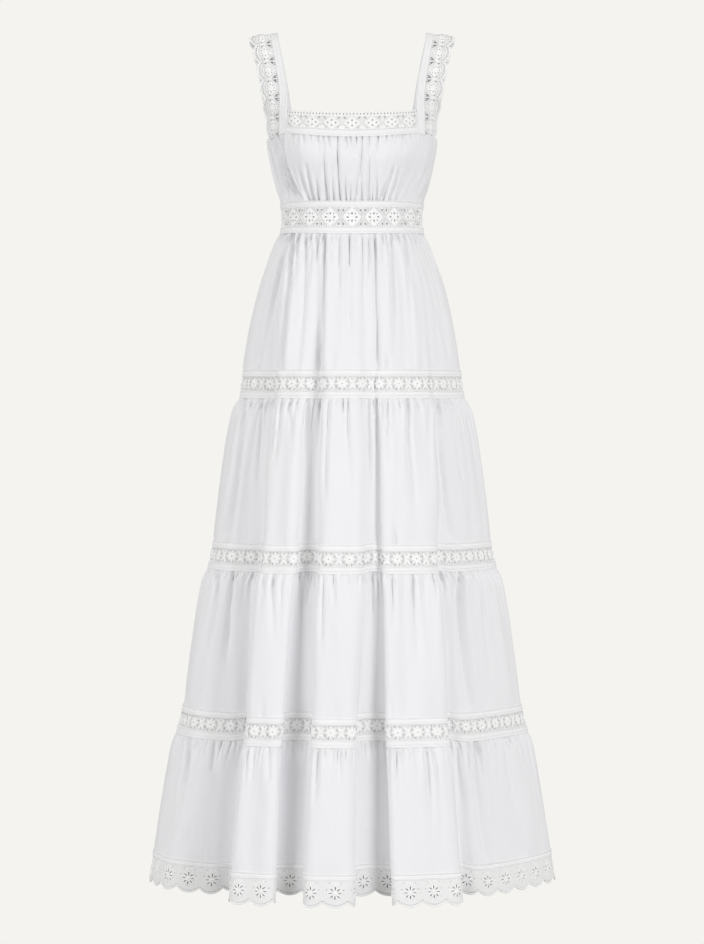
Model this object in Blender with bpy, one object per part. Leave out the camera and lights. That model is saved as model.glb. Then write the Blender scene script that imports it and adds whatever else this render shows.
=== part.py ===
"""White cotton maxi dress: gathered bodice, lace straps, four gathered tiers with
lace insertions between them and a scalloped lace hem. It hangs hollow, as worn.

Sizes are millimetres here and become metres in one place, panel_object().
+Z is up, the front faces -Y, and the origin is where the shoulders carry the straps.
Angles run round the dress in degrees: 0 at the front, 90 at +X, 180 at the back.
"""
import math
from collections import namedtuple

import bmesh
import bpy
from mathutils import Vector

MM = 0.001

# Walls and seams
COTTON = 1.5  # thickness of the woven panels
LACE = 1.2  # thickness of the lace strips
TAPE = 1.8  # thickness of the folded tapes beside the lace
SEAM_GAP = 0.3  # between the edges of two pieces sewn together

# Heights of the seams, at the side of the dress
NECK_TOP = -141.0
NECK_BOTTOM = -181.0
SIDE_TOP = -187.0  # top edge of the bodice under the arm
WAIST_TOP = -293.0
WAIST_BOTTOM = -343.0
HEM_TAPE_TOP = -1395.0
HEM_LACE_TOP = -1404.5
HEM_TIP = -1448.0  # lowest points of the scallops

PICOT_HEIGHT = 8.0  # openwork edge at the top of the neckline
NECK_LACE_HEIGHT = 22.0
WAIST_TAPE_HEIGHT = 9.5
BAND_TAPE_HEIGHT = 9.5
BAND_HEIGHT = 46.5  # an insertion: tape, lace and tape
NECK_DIP = 8.0  # the neckline hangs this much lower at the centre front
BACK_BAND_TOP = -147.0

Section = namedtuple("Section", "z half_width front back")

# The bodice and the waist, top to bottom
BODICE = (
    Section(z=-141, half_width=145.0, front=104, back=98),
    Section(z=-188, half_width=144.5, front=116, back=100),
    Section(z=-225, half_width=138.5, front=120, back=97),
    Section(z=-260, half_width=130.5, front=111, back=92),
    Section(z=-293, half_width=120.5, front=99, back=88),
    Section(z=-318, half_width=118.0, front=97, back=87),
    Section(z=-343, half_width=121.5, front=100, back=90),
)

# The skirt, top to bottom: each tier swells just below the seam that gathers it
SKIRT = (
    Section(z=-343, half_width=121.5, front=100, back=90),
    Section(z=-372, half_width=135.5, front=114, back=106),
    Section(z=-430, half_width=156, front=134, back=130),
    Section(z=-500, half_width=172, front=150, back=149),
    Section(z=-574, half_width=184, front=163, back=163),
    Section(z=-620.5, half_width=190, front=169, back=169),
    Section(z=-646, half_width=203, front=181, back=181),
    Section(z=-740, half_width=219, front=195, back=196),
    Section(z=-865, half_width=233.5, front=209, back=210),
    Section(z=-911.5, half_width=243, front=217, back=218),
    Section(z=-938, half_width=254.5, front=228, back=229),
    Section(z=-1040, half_width=271, front=243, back=243),
    Section(z=-1146.5, half_width=284, front=254, back=255),
    Section(z=-1193, half_width=295, front=263, back=264),
    Section(z=-1222, half_width=304, front=271, back=272),
    Section(z=-1305, half_width=319, front=284, back=285),
    Section(z=-1395, half_width=333, front=297, back=298),
    Section(z=-1448, half_width=341, front=303, back=304),
)

# Heights where each tier's panel has a section, between its two seams
TIER_SECTIONS = (
    (-343, -372, -450, -574),
    (-620.5, -646, -740, -865),
    (-911.5, -938, -1040, -1146.5),
    (-1193, -1222, -1305, -1395),
)
BAND_TOPS = (-574, -865, -1146.5)

# The folds of the skirt. A fold is a groove between two standing lobes or, as a "bend", one
# point of a plain panel. Its two ends are angles at the waist, the three insertions and the
# hem. Depths are at the last four, and lift is how far the hem rises there. "left" and
# "right" name a crisp lip on that side, which stands right in front of the groove's floor.
# "rolled" is crisp on the right and rolls in on the left.
Fold = namedtuple("Fold", "left right kind depths lift")
FOLDS = (
    Fold((-78,) * 5, (-78,) * 5, "bend", (-1, -2.5, -4, -5), 12),
    Fold((-63,) * 5, (-63,) * 5, "bend", (0, 0, 0, 1), 8),
    Fold(
        left=(-57, -54, -53, -52, -52),
        right=(-53, -42.2, -38.2, -35.8, -34.7),
        kind="right",
        depths=(14, 36, 60, 74),
        lift=6,
    ),
    Fold(
        left=(-26.5, -22.4, -22.4, -22.8, -20.8),
        right=(-20.9, -15.0, -13.1, -12.6, -12.9),
        kind="rolled",
        depths=(13, 25, 33, 29),
        lift=12,
    ),
    Fold(
        left=(14, 6.2, 4.2, 1.2, 0.7),
        right=(20.1, 12.9, 12.2, 11.0, 10.8),
        kind="rolled",
        depths=(6, 11, 25, 30),
        lift=12,
    ),
    Fold(
        left=(50, 45, 35.5, 32, 30.8),
        right=(56, 51, 44, 41, 40),
        kind="left",
        depths=(4, 14, 30, 38),
        lift=12,
    ),
    Fold((62, 61, 60, 60, 60), (62, 61, 60, 60, 60), "bend", (1, 4, 9, 13), 9),
    Fold((78,) * 5, (78,) * 5, "bend", (-1, -2.5, -4, -5), 13),
    Fold((102,) * 5, (102,) * 5, "bend", (-1, -2.5, -4, -5), 10),
    Fold((117,) * 5, (117,) * 5, "bend", (0, 0, 1, 2), 6),
    Fold(
        left=(126, 127, 128, 128, 128),
        right=(133, 138, 142, 144, 145),
        kind="right",
        depths=(9, 30, 50, 62),
        lift=10,
    ),
    Fold(
        left=(156, 155, 154, 153, 152),
        right=(160, 161, 162, 162, 162),
        kind="rolled",
        depths=(9, 15, 25, 30),
        lift=11,
    ),
    Fold(
        left=(184, 183, 182, 181, 180),
        right=(189, 190, 191, 191, 191),
        kind="rolled",
        depths=(9, 15, 25, 30),
        lift=11,
    ),
    Fold(
        left=(214, 213, 212, 211, 211),
        right=(224, 226, 228, 229, 229),
        kind="left",
        depths=(7, 20, 42, 58),
        lift=10,
    ),
    Fold((240,) * 5, (240,) * 5, "bend", (3, 12, 25, 34), 7),
    Fold((258,) * 5, (258,) * 5, "bend", (-1, -2.5, -4, -5), 11),
)
GRADES = (0, 1, 2, 3, 4)  # the waist seam, the three insertions and the hem
HALF_WIDTHS = (121.5, 187, 238.3, 289.5, 341)  # of the skirt, there
CREST = (4, 7, 11, 14)  # how far the lobes stand out, at the last four
LIP_FALL = (5.5, 6, 6.5, 7)  # a lobe turns back by that much at its lip
LIP_TURN = 9.0  # width over which it does
LIP_LIFT = 0.1  # share of a fold's lift at its lip
UNDER = (-4, -2.5, 0, 1.2, 1.6)  # how far a crisp lip overhangs its groove
ROLL_START = (0.4, 0.35, 0.2, 0.03, 0)  # a rolled groove's floor begins at that share of it
ROLL_DEPTH = 0.68  # share of the depth there
BULGE = 0.6  # depth of the panel beside a groove, as a share of the groove's own
BULGE_LIFT = 0.5  # and its lift
SIDE_LIFT = 14.0  # rise of the hem at the side seams
LIFT_SHARE = (0, 0.25, 0.65, 1)  # of the lifts, at the insertions and the hem
FRONT_DROP = (9, 6, 3, 0)  # how much lower these hang at the front

# The bodice
CUP_ANGLE = 33.0
CUP_HEIGHT_Z = -212.0
CUP_STAND = 9.0
CUP_SPREAD_ANGLE = 16.0
CUP_SPREAD_Z = 34.0
NECK_END = 48.5  # the neckline strips end here, at the straps
SEAM_AT_WAIST = 39.7  # foot of the seam between the front and the side panel
SEAM_BOW = 5.0  # how far that seam bows outwards, in degrees
GATHER_DEPTH = 4.0
FRONT_PLEATS = 7
BACK_PLEATS = 9
SIDE_COLUMNS = 4
NECK_COLUMNS = 10
HALF_GAP_ANGLE = math.degrees(SEAM_GAP / 2 / 110)  # half a seam gap, round the bodice
BODICE_ROWS = (0, 0.3, 0.6, 0.85, 1)  # shares of a panel's height
WAIST_COLUMNS = 28

# The straps: the tape's inner edge, the seam between tape and lace, and the lace's edge
FRONT_FOOT = (48.5, 57.5, 77.0)  # angles of those three lines on the bodice
BACK_FOOT = (136.2, 128.5, 106.0)
LACE_FLARE = 5.0  # the lace stands off the body at the neckline
StrapRow = namedtuple("StrapRow", "z x_inner y_inner x_seam y_seam x_outer y_outer drop")
STRAP_ROWS = (
    StrapRow(-116, 109.5, -62, 122, -55, 151, -36, 0),
    StrapRow(-88, 111.5, -53, 124.5, -47, 154.5, -32, 1),
    StrapRow(-58, 116.5, -41, 129, -37, 160, -25, 2),
    StrapRow(-29, 121.5, -26.5, 134.3, -24.5, 166, -17, 4),
    StrapRow(-8, 125, -11, 137.5, -10.5, 171, -8, 6),
    StrapRow(0, 125.8, 4, 138.3, 4, 172.5, 4, 6),
    StrapRow(-8, 125, 19, 137.5, 18.5, 171, 16, 6),
    StrapRow(-29, 120.5, 34, 133, 32, 166, 26, 4),
    StrapRow(-58, 114.5, 47, 127, 44, 159.5, 34, 2),
    StrapRow(-88, 109, 57.5, 121.5, 53, 154, 40, 1),
    StrapRow(-116, 105, 65, 117.5, 59.5, 150, 43, 0),
)
STRAP_SCALLOPS = 10
STRAP_SCALLOP_DEPTH = 5.0

HEM_SCALLOPS = 60
HEM_SCALLOP_DEPTH = 9.0

WHITE_COTTON = ("white_cotton", (0.90, 0.90, 0.92), 0.85)
WHITE_LACE = ("white_lace", (0.88, 0.88, 0.89), 0.9)
WHITE_TAPE = ("white_tape", (0.92, 0.92, 0.93), 0.8)


def clear_scene():
    for obj in list(bpy.data.objects):
        bpy.data.objects.remove(obj)


def between(value, marks, results):
    """Straight interpolation, held at both ends. The marks rise."""
    if value <= marks[0]:
        return results[0]
    for low, high, first, last in zip(marks, marks[1:], results, results[1:]):
        if value <= high:
            return first + (last - first) * (value - low) / (high - low)
    return results[-1]


def size_at(sections, z):
    """(half width, front depth, back depth) of a run of sections at a height."""
    rising = sections[::-1]
    marks = [s.z for s in rising]
    return tuple(
        between(z, marks, [getattr(s, side) for s in rising])
        for side in ("half_width", "front", "back")
    )


def oval_point(size, degrees, out=0.0):
    """A point on the oval of that size, moved out from its centre."""
    half_width, front, back = size
    turn = math.radians(degrees)
    depth = front if math.cos(turn) > 0 else back
    return (
        (half_width + out) * math.sin(turn),
        -(depth + out) * math.cos(turn),
    )


# The skirt's rings


def fold_grade(z):
    """0 at the waist seam, 1 to 3 at the middles of the insertions and 4 at the hem."""
    middles = [top - BAND_HEIGHT / 2 for top in BAND_TOPS]
    return between(z, (HEM_TIP, *middles[::-1], WAIST_BOTTOM), GRADES[::-1])


def by_grade(grade, values):
    """A value stated at the three insertions and the hem, and nothing at the waist."""
    return between(grade, GRADES, (0, *values))


def floor_angle(lip, out, depth, grade, side):
    """Where a groove's floor lies: straight behind its lip, a little under the lobe."""
    wide = between(grade, GRADES, HALF_WIDTHS)
    facing = 1 if math.cos(math.radians(lip)) > 0 else -1
    x = (wide + out) * math.sin(math.radians(lip)) + side * facing * between(grade, GRADES, UNDER)
    turned = math.degrees(math.asin(max(-1.0, min(1.0, x / (wide + depth)))))
    return turned if facing > 0 else 180 - turned


def fold_points(fold, grade):
    """(angle, out, lift) from the left lobe's shoulder to the right lobe's."""
    left, right = between(grade, GRADES, fold.left), between(grade, GRADES, fold.right)
    depth = -by_grade(grade, fold.depths)
    if fold.kind == "bend":
        return [(left, depth, fold.lift)]
    crest = by_grade(grade, CREST)
    lip = crest - by_grade(grade, LIP_FALL)
    turn = math.degrees(LIP_TURN / between(grade, GRADES, HALF_WIDTHS))
    lip_lift = LIP_LIFT * fold.lift
    if fold.kind == "left":
        floor = floor_angle(left, lip, depth, grade, -1)
        lobe = [(left - turn, crest, 0.0), (left, lip, lip_lift), (floor, depth, fold.lift)]
        return [*lobe, (right, depth * BULGE, fold.lift * BULGE_LIFT)]
    floor = floor_angle(right, lip, depth, grade, 1)
    lobe = [(floor, depth, fold.lift), (right, lip, lip_lift), (right + turn, crest, 0.0)]
    if fold.kind == "right":
        return [(left, depth * BULGE, fold.lift * BULGE_LIFT), *lobe]
    start = floor_angle(left, lip, depth * ROLL_DEPTH, grade, 0)
    start += (floor - start) * between(grade, GRADES, ROLL_START)
    rolled = [(left - turn, crest, 0.0), (left, lip, lip_lift)]
    return [*rolled, (start, depth * ROLL_DEPTH, fold.lift), *lobe]


def skirt_columns(grade):
    """(angle, out, lift) of every fold point, starting at the side seam at -90 degrees."""
    crest = by_grade(grade, CREST)
    columns = [(-90.0, 0.0, SIDE_LIFT)]
    for before, fold in zip((None, *FOLDS), FOLDS):
        points = fold_points(fold, grade)
        left, right = columns[-1][0], points[0][0]
        if left < 90 < right:  # the side seam
            columns.append((90.0, 0.0, SIDE_LIFT))
        elif before and before.kind in ("right", "rolled") and fold.kind in ("left", "rolled"):
            columns.append(((left + right) / 2, crest, 0.0))
        columns += points
    return columns


def skirt_ring(z):
    """The fold points of the skirt at a height, as (x, y, z)."""
    grade = fold_grade(z)
    size = size_at(SKIRT, z)
    lift_share = by_grade(grade, LIFT_SHARE)
    drop = by_grade(grade, FRONT_DROP)
    ring = []
    for angle, out, lift in skirt_columns(grade):
        x, y = oval_point(size, angle, out)
        facing = max(0.0, math.cos(math.radians(angle)))
        ring.append((x, y, z + lift * lift_share - drop * facing))
    return ring


def half_ring(ring, front):
    """The columns of one half, ending just short of both side seams."""
    seam = max(range(len(ring)), key=lambda i: ring[i][0])
    half = ring[: seam + 1] if front else ring[seam:] + ring[:1]
    shift = -SEAM_GAP / 2 if front else SEAM_GAP / 2
    ends = [(x, y + shift, z) for x, y, z in (half[0], half[-1])]
    return [ends[0], *half[1:-1], ends[1]]


def half_normals(row, front):
    """Normals of half a ring, square to the side seams at both ends."""
    side = -1 if front else 1
    inner = side_normals(row, closed=False)[1:-1]
    return [Vector((side, 0, 0)), *inner, Vector((-side, 0, 0))]


# Walls


def side_normals(row, closed):
    """Horizontal unit normals of a row of points, pointing away from the dress."""
    count = len(row)
    normals = []
    for i, point in enumerate(row):
        before = row[i - 1] if closed or i else point
        after = row[(i + 1) % count] if closed or i < count - 1 else point
        dx, dy = after[0] - before[0], after[1] - before[1]
        length = math.hypot(dx, dy)
        normals.append(Vector((dy / length, -dx / length, 0)))
    return normals


def wall_mesh(name, rows, normals, thickness, closed):
    """A wall through rows of points: outer and inner skins joined by rims."""
    bm = bmesh.new()
    skins = []
    for side in (0.5, -0.5):
        skins.append(
            [
                [
                    bm.verts.new((Vector(p) + n * thickness * side) * MM)
                    for p, n in zip(row, row_normals)
                ]
                for row, row_normals in zip(rows, normals)
            ]
        )
    outer, inner = skins
    last = len(rows) - 1
    count = len(rows[0])
    spans = [(i, (i + 1) % count) for i in range(count if closed else count - 1)]
    for r in range(last):
        for i, j in spans:
            bm.faces.new((outer[r][i], outer[r + 1][i], outer[r + 1][j], outer[r][j]))
            bm.faces.new((inner[r][j], inner[r + 1][j], inner[r + 1][i], inner[r][i]))
        if not closed:
            bm.faces.new((outer[r][0], inner[r][0], inner[r + 1][0], outer[r + 1][0]))
            bm.faces.new((outer[r + 1][-1], inner[r + 1][-1], inner[r][-1], outer[r][-1]))
    for i, j in spans:
        bm.faces.new((outer[0][j], inner[0][j], inner[0][i], outer[0][i]))
        bm.faces.new((outer[last][i], inner[last][i], inner[last][j], outer[last][j]))
    bmesh.ops.triangulate(bm, faces=bm.faces)
    bmesh.ops.recalc_face_normals(bm, faces=bm.faces)
    mesh = bpy.data.meshes.new(name)
    bm.to_mesh(mesh)
    bm.free()
    return mesh


def finish_material(look):
    name, colour, roughness = look
    material = bpy.data.materials.get(name)
    if material is None:
        material = bpy.data.materials.new(name)
        material.use_nodes = True
        shader = material.node_tree.nodes["Principled BSDF"]
        shader.inputs["Base Color"].default_value = (*colour, 1)
        shader.inputs["Roughness"].default_value = roughness
        shader.inputs["Metallic"].default_value = 0
    return material


def panel_object(name, rows, thickness, look, closed=False, normals=None):
    """One sewn piece as its own object."""
    if normals is None:
        normals = [side_normals(row, closed) for row in rows]
    mesh = wall_mesh(name, rows, normals, thickness, closed)
    mesh.materials.append(finish_material(look))
    obj = bpy.data.objects.new(name, mesh)
    bpy.context.scene.collection.objects.link(obj)
    return obj


# The skirt's pieces


def build_tiers():
    for number, heights in enumerate(TIER_SECTIONS, 1):
        heights = [heights[0] - SEAM_GAP, *heights[1:-1], heights[-1]]
        rings = [skirt_ring(z) for z in heights]
        for side, front in (("front", True), ("back", False)):
            rows = [half_ring(ring, front) for ring in rings]
            normals = [half_normals(row, front) for row in rows]
            panel_object(f"tier_{number}_{side}", rows, COTTON, WHITE_COTTON, normals=normals)


def build_insertions():
    for number, top in enumerate(BAND_TOPS, 1):
        lace_top = top - BAND_TAPE_HEIGHT
        lace_bottom = top - BAND_HEIGHT + BAND_TAPE_HEIGHT
        strips = (
            (f"insertion_{number}_upper_tape", top, lace_top, TAPE, WHITE_TAPE),
            (f"insertion_{number}_lace", lace_top, lace_bottom, LACE, WHITE_LACE),
            (f"insertion_{number}_lower_tape", lace_bottom, top - BAND_HEIGHT, TAPE, WHITE_TAPE),
        )
        for name, high, low, thickness, look in strips:
            rows = [skirt_ring(high - SEAM_GAP), skirt_ring(low)]
            panel_object(name, rows, thickness, look, closed=True)


def split_ring(ring, places):
    """Points of a closed ring. A place is a segment's number plus a share of the segment."""
    points = []
    for place in places:
        i = int(place)
        start, end = Vector(ring[i]), Vector(ring[(i + 1) % len(ring)])
        points.append(start.lerp(end, place - i))
    return points


def build_hem():
    tape = [skirt_ring(HEM_TAPE_TOP - SEAM_GAP), skirt_ring(HEM_LACE_TOP)]
    panel_object("hem_tape", tape, TAPE, WHITE_TAPE, closed=True)
    top, bottom = skirt_ring(HEM_LACE_TOP - 2 * SEAM_GAP), skirt_ring(HEM_TIP)
    corners = [Vector(p) for p in (*bottom, bottom[0])]
    run = [0.0]
    for a, b in zip(corners, corners[1:]):
        run.append(run[-1] + (b - a).length)
    marks = spread(0, run[-1], HEM_SCALLOPS * 2)
    numbers = list(range(len(corners)))
    cuts = [between(mark, run, numbers) for mark in marks[:-1]]
    places = sorted([*numbers[:-1], *(cut for cut in cuts if 0.1 < cut % 1 < 0.9)])
    rises = [HEM_SCALLOP_DEPTH * (1 - i % 2) for i in range(len(marks))]
    edge = split_ring(bottom, places)
    for point, place in zip(edge, places):
        point.z += between(between(place, numbers, run), marks, rises)
    panel_object("hem_lace", [split_ring(top, places), edge], LACE, WHITE_LACE, closed=True)


# The bodice's pieces


def cup_stand(angle, z):
    """How far the cups stand out of the bodice's oval."""
    fall_z = ((z - CUP_HEIGHT_Z) / CUP_SPREAD_Z) ** 2
    return sum(
        CUP_STAND * math.exp(-(((angle - side * CUP_ANGLE) / CUP_SPREAD_ANGLE) ** 2) - fall_z)
        for side in (-1, 1)
    )


def bodice_point(angle, z, out=0.0, height=None):
    """A point of the bodice's form at an angle and height. Its z may be stated apart."""
    wrapped = (angle + 180) % 360 - 180
    x, y = oval_point(size_at(BODICE, z), angle, out + cup_stand(wrapped, z))
    return (x, y, z if height is None else height)


def neck_dip(angle):
    """How far the neckline hangs below its corners."""
    return NECK_DIP * math.cos(math.radians(90 * angle / NECK_END))


def front_top(angle):
    """Height of the bodice's top edge, from the centre front to the side seam."""
    if abs(angle) <= NECK_END:
        return NECK_BOTTOM - neck_dip(angle) - SEAM_GAP
    share = (abs(angle) - NECK_END) / (90 - NECK_END)
    return NECK_BOTTOM + (SIDE_TOP - NECK_BOTTOM) * share - SEAM_GAP


def seam_angle(share):
    """Angle of the seam between front and side panel, by share of the way down."""
    straight = NECK_END + (SEAM_AT_WAIST - NECK_END) * share
    return straight + SEAM_BOW * math.sin(math.pi * share)


def pleat_out(index, share):
    """Gathers: every second column falls back, most in the middle of the panel."""
    depth = GATHER_DEPTH * (0.25 + 0.75 * math.sin(math.pi * share))
    return -depth / 2 if index % 2 else depth / 2


def spread(first, last, spans):
    """Evenly spaced values from first to last."""
    return [first + (last - first) * i / spans for i in range(spans + 1)]


def bodice_panel(name, columns, top_at, ends_at, gathered):
    """A panel down to the waist. ends_at gives its edges' angles at a share of its height."""
    tops = [top_at(angle) for angle in spread(*ends_at(0), columns)]
    rows = []
    for share in BODICE_ROWS:
        angles = spread(*ends_at(share), columns)
        rows.append(
            [
                bodice_point(
                    angle,
                    top + (WAIST_TOP - top) * share,
                    pleat_out(i, share) if gathered else 0.0,
                )
                for i, (angle, top) in enumerate(zip(angles, tops))
            ]
        )
    panel_object(name, rows, COTTON, WHITE_COTTON)


def front_ends(share):
    edge = seam_angle(share) - HALF_GAP_ANGLE
    return (-edge, edge)


def side_left_ends(share):
    return (-90 + HALF_GAP_ANGLE, -seam_angle(share) - HALF_GAP_ANGLE)


def side_right_ends(share):
    return (seam_angle(share) + HALF_GAP_ANGLE, 90 - HALF_GAP_ANGLE)


def back_ends(share):
    return (90 + HALF_GAP_ANGLE, 270 - HALF_GAP_ANGLE)


def back_top(angle):
    return SIDE_TOP - SEAM_GAP


def build_bodice():
    bodice_panel("bodice_front", FRONT_PLEATS * 2, front_top, front_ends, True)
    bodice_panel("bodice_side_left", SIDE_COLUMNS, front_top, side_left_ends, False)
    bodice_panel("bodice_side_right", SIDE_COLUMNS, front_top, side_right_ends, False)
    bodice_panel("bodice_back", BACK_PLEATS * 2, back_top, back_ends, True)


def neck_strip(name, high, low, thickness, look):
    """A strip of the front neckline, between the two strap tapes."""
    end = NECK_END - HALF_GAP_ANGLE * 2
    rows = []
    for z in (high, low):
        angles = spread(-end, end, NECK_COLUMNS)
        rows.append([bodice_point(a, z, height=z - neck_dip(a)) for a in angles])
    panel_object(name, rows, thickness, look)


def build_neckline():
    picot_bottom = NECK_TOP - PICOT_HEIGHT
    lace_bottom = picot_bottom - NECK_LACE_HEIGHT
    neck_strip("neck_picot_edge", NECK_TOP, picot_bottom, LACE, WHITE_LACE)
    neck_strip("neck_lace", picot_bottom - SEAM_GAP, lace_bottom, LACE, WHITE_LACE)
    neck_strip("neck_tape", lace_bottom - SEAM_GAP, NECK_BOTTOM, TAPE, WHITE_TAPE)
    end = BACK_FOOT[0] + HALF_GAP_ANGLE * 4
    angles = spread(end, 360 - end, NECK_COLUMNS)
    rows = [[bodice_point(a, z) for a in angles] for z in (BACK_BAND_TOP, SIDE_TOP)]
    panel_object("neck_band_back", rows, TAPE, WHITE_COTTON)


def build_waist():
    lace_top = WAIST_TOP - WAIST_TAPE_HEIGHT
    lace_bottom = WAIST_BOTTOM + WAIST_TAPE_HEIGHT
    strips = (
        ("waist_upper_tape", WAIST_TOP, lace_top, TAPE, WHITE_TAPE),
        ("waist_lace", lace_top, lace_bottom, LACE, WHITE_LACE),
        ("waist_lower_tape", lace_bottom, WAIST_BOTTOM, TAPE, WHITE_TAPE),
    )
    angles = spread(0, 360, WAIST_COLUMNS)[:-1]
    for name, high, low, thickness, look in strips:
        rows = [[bodice_point(a, z) for a in angles] for z in (high - SEAM_GAP, low)]
        panel_object(name, rows, thickness, look, closed=True)


# The straps


def foot_rows(angles, low):
    """The strap's rows where it lies on the bodice, from its foot up to the neckline."""
    inner, seam, outer = angles
    rows = []
    for z in (low, (low + NECK_TOP) / 2, NECK_TOP):
        share = (z - low) / (NECK_TOP - low)
        rows.append(
            [
                Vector(bodice_point(inner, z)),
                Vector(bodice_point(seam, z)),
                Vector(bodice_point(outer, z, out=LACE_FLARE * share)),
            ]
        )
    return rows


def strap_lines():
    """Rows of three points each, from the front foot over the shoulder to the back foot."""
    front = foot_rows(FRONT_FOOT, NECK_BOTTOM)
    for row, angle in zip(front[0][1:], FRONT_FOOT[1:]):
        row.z = front_top(angle) + SEAM_GAP
    back = foot_rows(BACK_FOOT, SIDE_TOP)
    over = [
        [
            Vector((r.x_inner, r.y_inner, r.z)),
            Vector((r.x_seam, r.y_seam, r.z - r.drop / 4)),
            Vector((r.x_outer, r.y_outer, r.z - r.drop)),
        ]
        for r in STRAP_ROWS
    ]
    return [*front, *over, *back[::-1]]


def smooth_between(p0, p1, p2, p3, t):
    """A point between p1 and p2 on the smooth curve through four points."""
    bend = (2 * p0 - 5 * p1 + 4 * p2 - p3) * t * t + (3 * p1 - p0 - 3 * p2 + p3) * t**3
    return (2 * p1 + (p2 - p0) * t + bend) / 2


def strap_stations(rows, count):
    """Rows evenly spaced along the strap, on smooth curves through the given rows."""
    run = [0.0]
    for a, b in zip(rows, rows[1:]):
        run.append(run[-1] + (b[1] - a[1]).length)
    last = len(rows) - 1
    stations = []
    for at in spread(0, run[-1], count):
        k = min(sum(mark <= at for mark in run) - 1, last - 1)
        t = (at - run[k]) / (run[k + 1] - run[k])
        around = [rows[min(max(k + step, 0), last)] for step in (-1, 0, 1, 2)]
        stations.append([smooth_between(*points, t) for points in zip(*around)])
    return stations


def strap_normals(stations):
    """The direction away from the body at each station, square to its width and its run."""
    normals = []
    for i, row in enumerate(stations):
        before = stations[max(i - 1, 0)]
        after = stations[min(i + 1, len(stations) - 1)]
        along = after[1] - before[1]
        across = row[2] - row[0]
        normals.append([along.cross(across).normalized()] * 2)
    return normals


def strap_piece(name, side, stations, near, far, scallop, thickness, look):
    """One strip of a strap, between two of its three lines."""
    rows = []
    for i, row in enumerate(stations):
        across = (row[far] - row[near]).normalized()
        start = row[near] + across * SEAM_GAP / 2
        end = row[far] - across * SEAM_GAP / 2
        if scallop:
            end += across * scallop * (0.5 if i % 2 else -0.5)
        rows.append([start, end])
    normals = strap_normals(stations)
    mirror = Vector((side, 1, 1))
    rows = [[p * mirror for p in row] for row in rows]
    normals = [[n * mirror for n in row] for row in normals]
    panel_object(name, rows, thickness, look, normals=normals)


def build_straps():
    lines = strap_lines()
    for label, side in (("left", -1), ("right", 1)):
        stations = strap_stations(lines, STRAP_SCALLOPS * 2)
        strap_piece(f"strap_tape_{label}", side, stations, 0, 1, 0, TAPE, WHITE_TAPE)
        strap_piece(
            f"strap_lace_{label}", side, stations, 1, 2, STRAP_SCALLOP_DEPTH, LACE, WHITE_LACE
        )


def main():
    clear_scene()
    build_bodice()
    build_neckline()
    build_straps()
    build_waist()
    build_tiers()
    build_insertions()
    build_hem()


main()
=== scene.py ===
import math
from collections import namedtuple

import bpy
import numpy as np
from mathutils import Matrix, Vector
from mathutils.geometry import delaunay_2d_cdt


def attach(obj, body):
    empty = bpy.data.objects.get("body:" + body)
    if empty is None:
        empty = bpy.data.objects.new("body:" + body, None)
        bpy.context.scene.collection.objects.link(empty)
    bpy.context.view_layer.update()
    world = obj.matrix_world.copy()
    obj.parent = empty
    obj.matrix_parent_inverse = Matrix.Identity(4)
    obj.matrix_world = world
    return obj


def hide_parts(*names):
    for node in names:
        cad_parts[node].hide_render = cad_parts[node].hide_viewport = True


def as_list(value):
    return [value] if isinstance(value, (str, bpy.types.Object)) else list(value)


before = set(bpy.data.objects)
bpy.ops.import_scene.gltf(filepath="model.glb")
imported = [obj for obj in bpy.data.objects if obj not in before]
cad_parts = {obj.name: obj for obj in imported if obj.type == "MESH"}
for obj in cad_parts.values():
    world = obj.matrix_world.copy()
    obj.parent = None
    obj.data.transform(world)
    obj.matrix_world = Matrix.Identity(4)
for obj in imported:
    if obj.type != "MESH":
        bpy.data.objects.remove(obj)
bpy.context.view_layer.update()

# White cotton maxi dress. Sizes are millimetres, in the frame's own axes, and turn into
# metres in makeObject(). The front faces -Y and angles run round from it, 90 at +X.
mm = 0.001

# ---- view, light and floor

view = {
    "frameHeight": 944,
    "mmPerPixel": 1.70,  # at the dress's middle
    "topRow": 33,  # row of the frame where the straps end
    "eyeRow": 545,  # row that is level with the camera
    "distance": 4800,
}

studio = {  # in metres and watts
    "paper": (0.905, 0.897, 0.864),  # what the camera sees behind the dress
    "fill": (0.68, 0.67, 0.652),  # even light from all round
    # two soft boxes, one on each side: name, place, size, watts
    "boxes": (
        ("rightBox", (3.3, -3.75, -0.4), 1.6, 99.5),
        ("leftBox", (-3.9, -3.2, -0.4), 1.6, 83.0),
    ),
    "boxTarget": (0.0, 0.0, -0.8),
    "boxColour": (0.97, 0.98, 0.998),
    "floorZ": -1.452,
    "floorRadius": 30.0,
    "floorWhite": 0.5,
}


def setCamera():
    height = view["frameHeight"]
    eyeZ = -(view["eyeRow"] - view["topRow"]) * view["mmPerPixel"] * mm
    camera = bpy.data.objects.new("camera", bpy.data.cameras.new("camera"))
    bpy.context.scene.collection.objects.link(camera)
    camera.location = (0, -view["distance"] * mm, eyeZ)
    camera.rotation_euler = (math.radians(90), 0, 0)
    lens = camera.data
    lens.sensor_fit = "VERTICAL"
    lens.lens = lens.sensor_height * view["distance"] / (height * view["mmPerPixel"])
    lens.shift_y = (view["eyeRow"] - height / 2) / height
    lens.clip_end = 100
    bpy.context.scene.camera = camera


def mixForCamera(tree, others, camera, output):
    # the camera sees one shader and all other light sees the other
    path = tree.nodes.new("ShaderNodeLightPath")
    mix = tree.nodes.new("ShaderNodeMixShader")
    feeds = (path.outputs["Is Camera Ray"], others.outputs[0], camera.outputs[0])
    for feed, slot in zip(feeds, mix.inputs):
        tree.links.new(feed, slot)
    tree.links.new(mix.outputs[0], output.inputs["Surface"])


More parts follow.
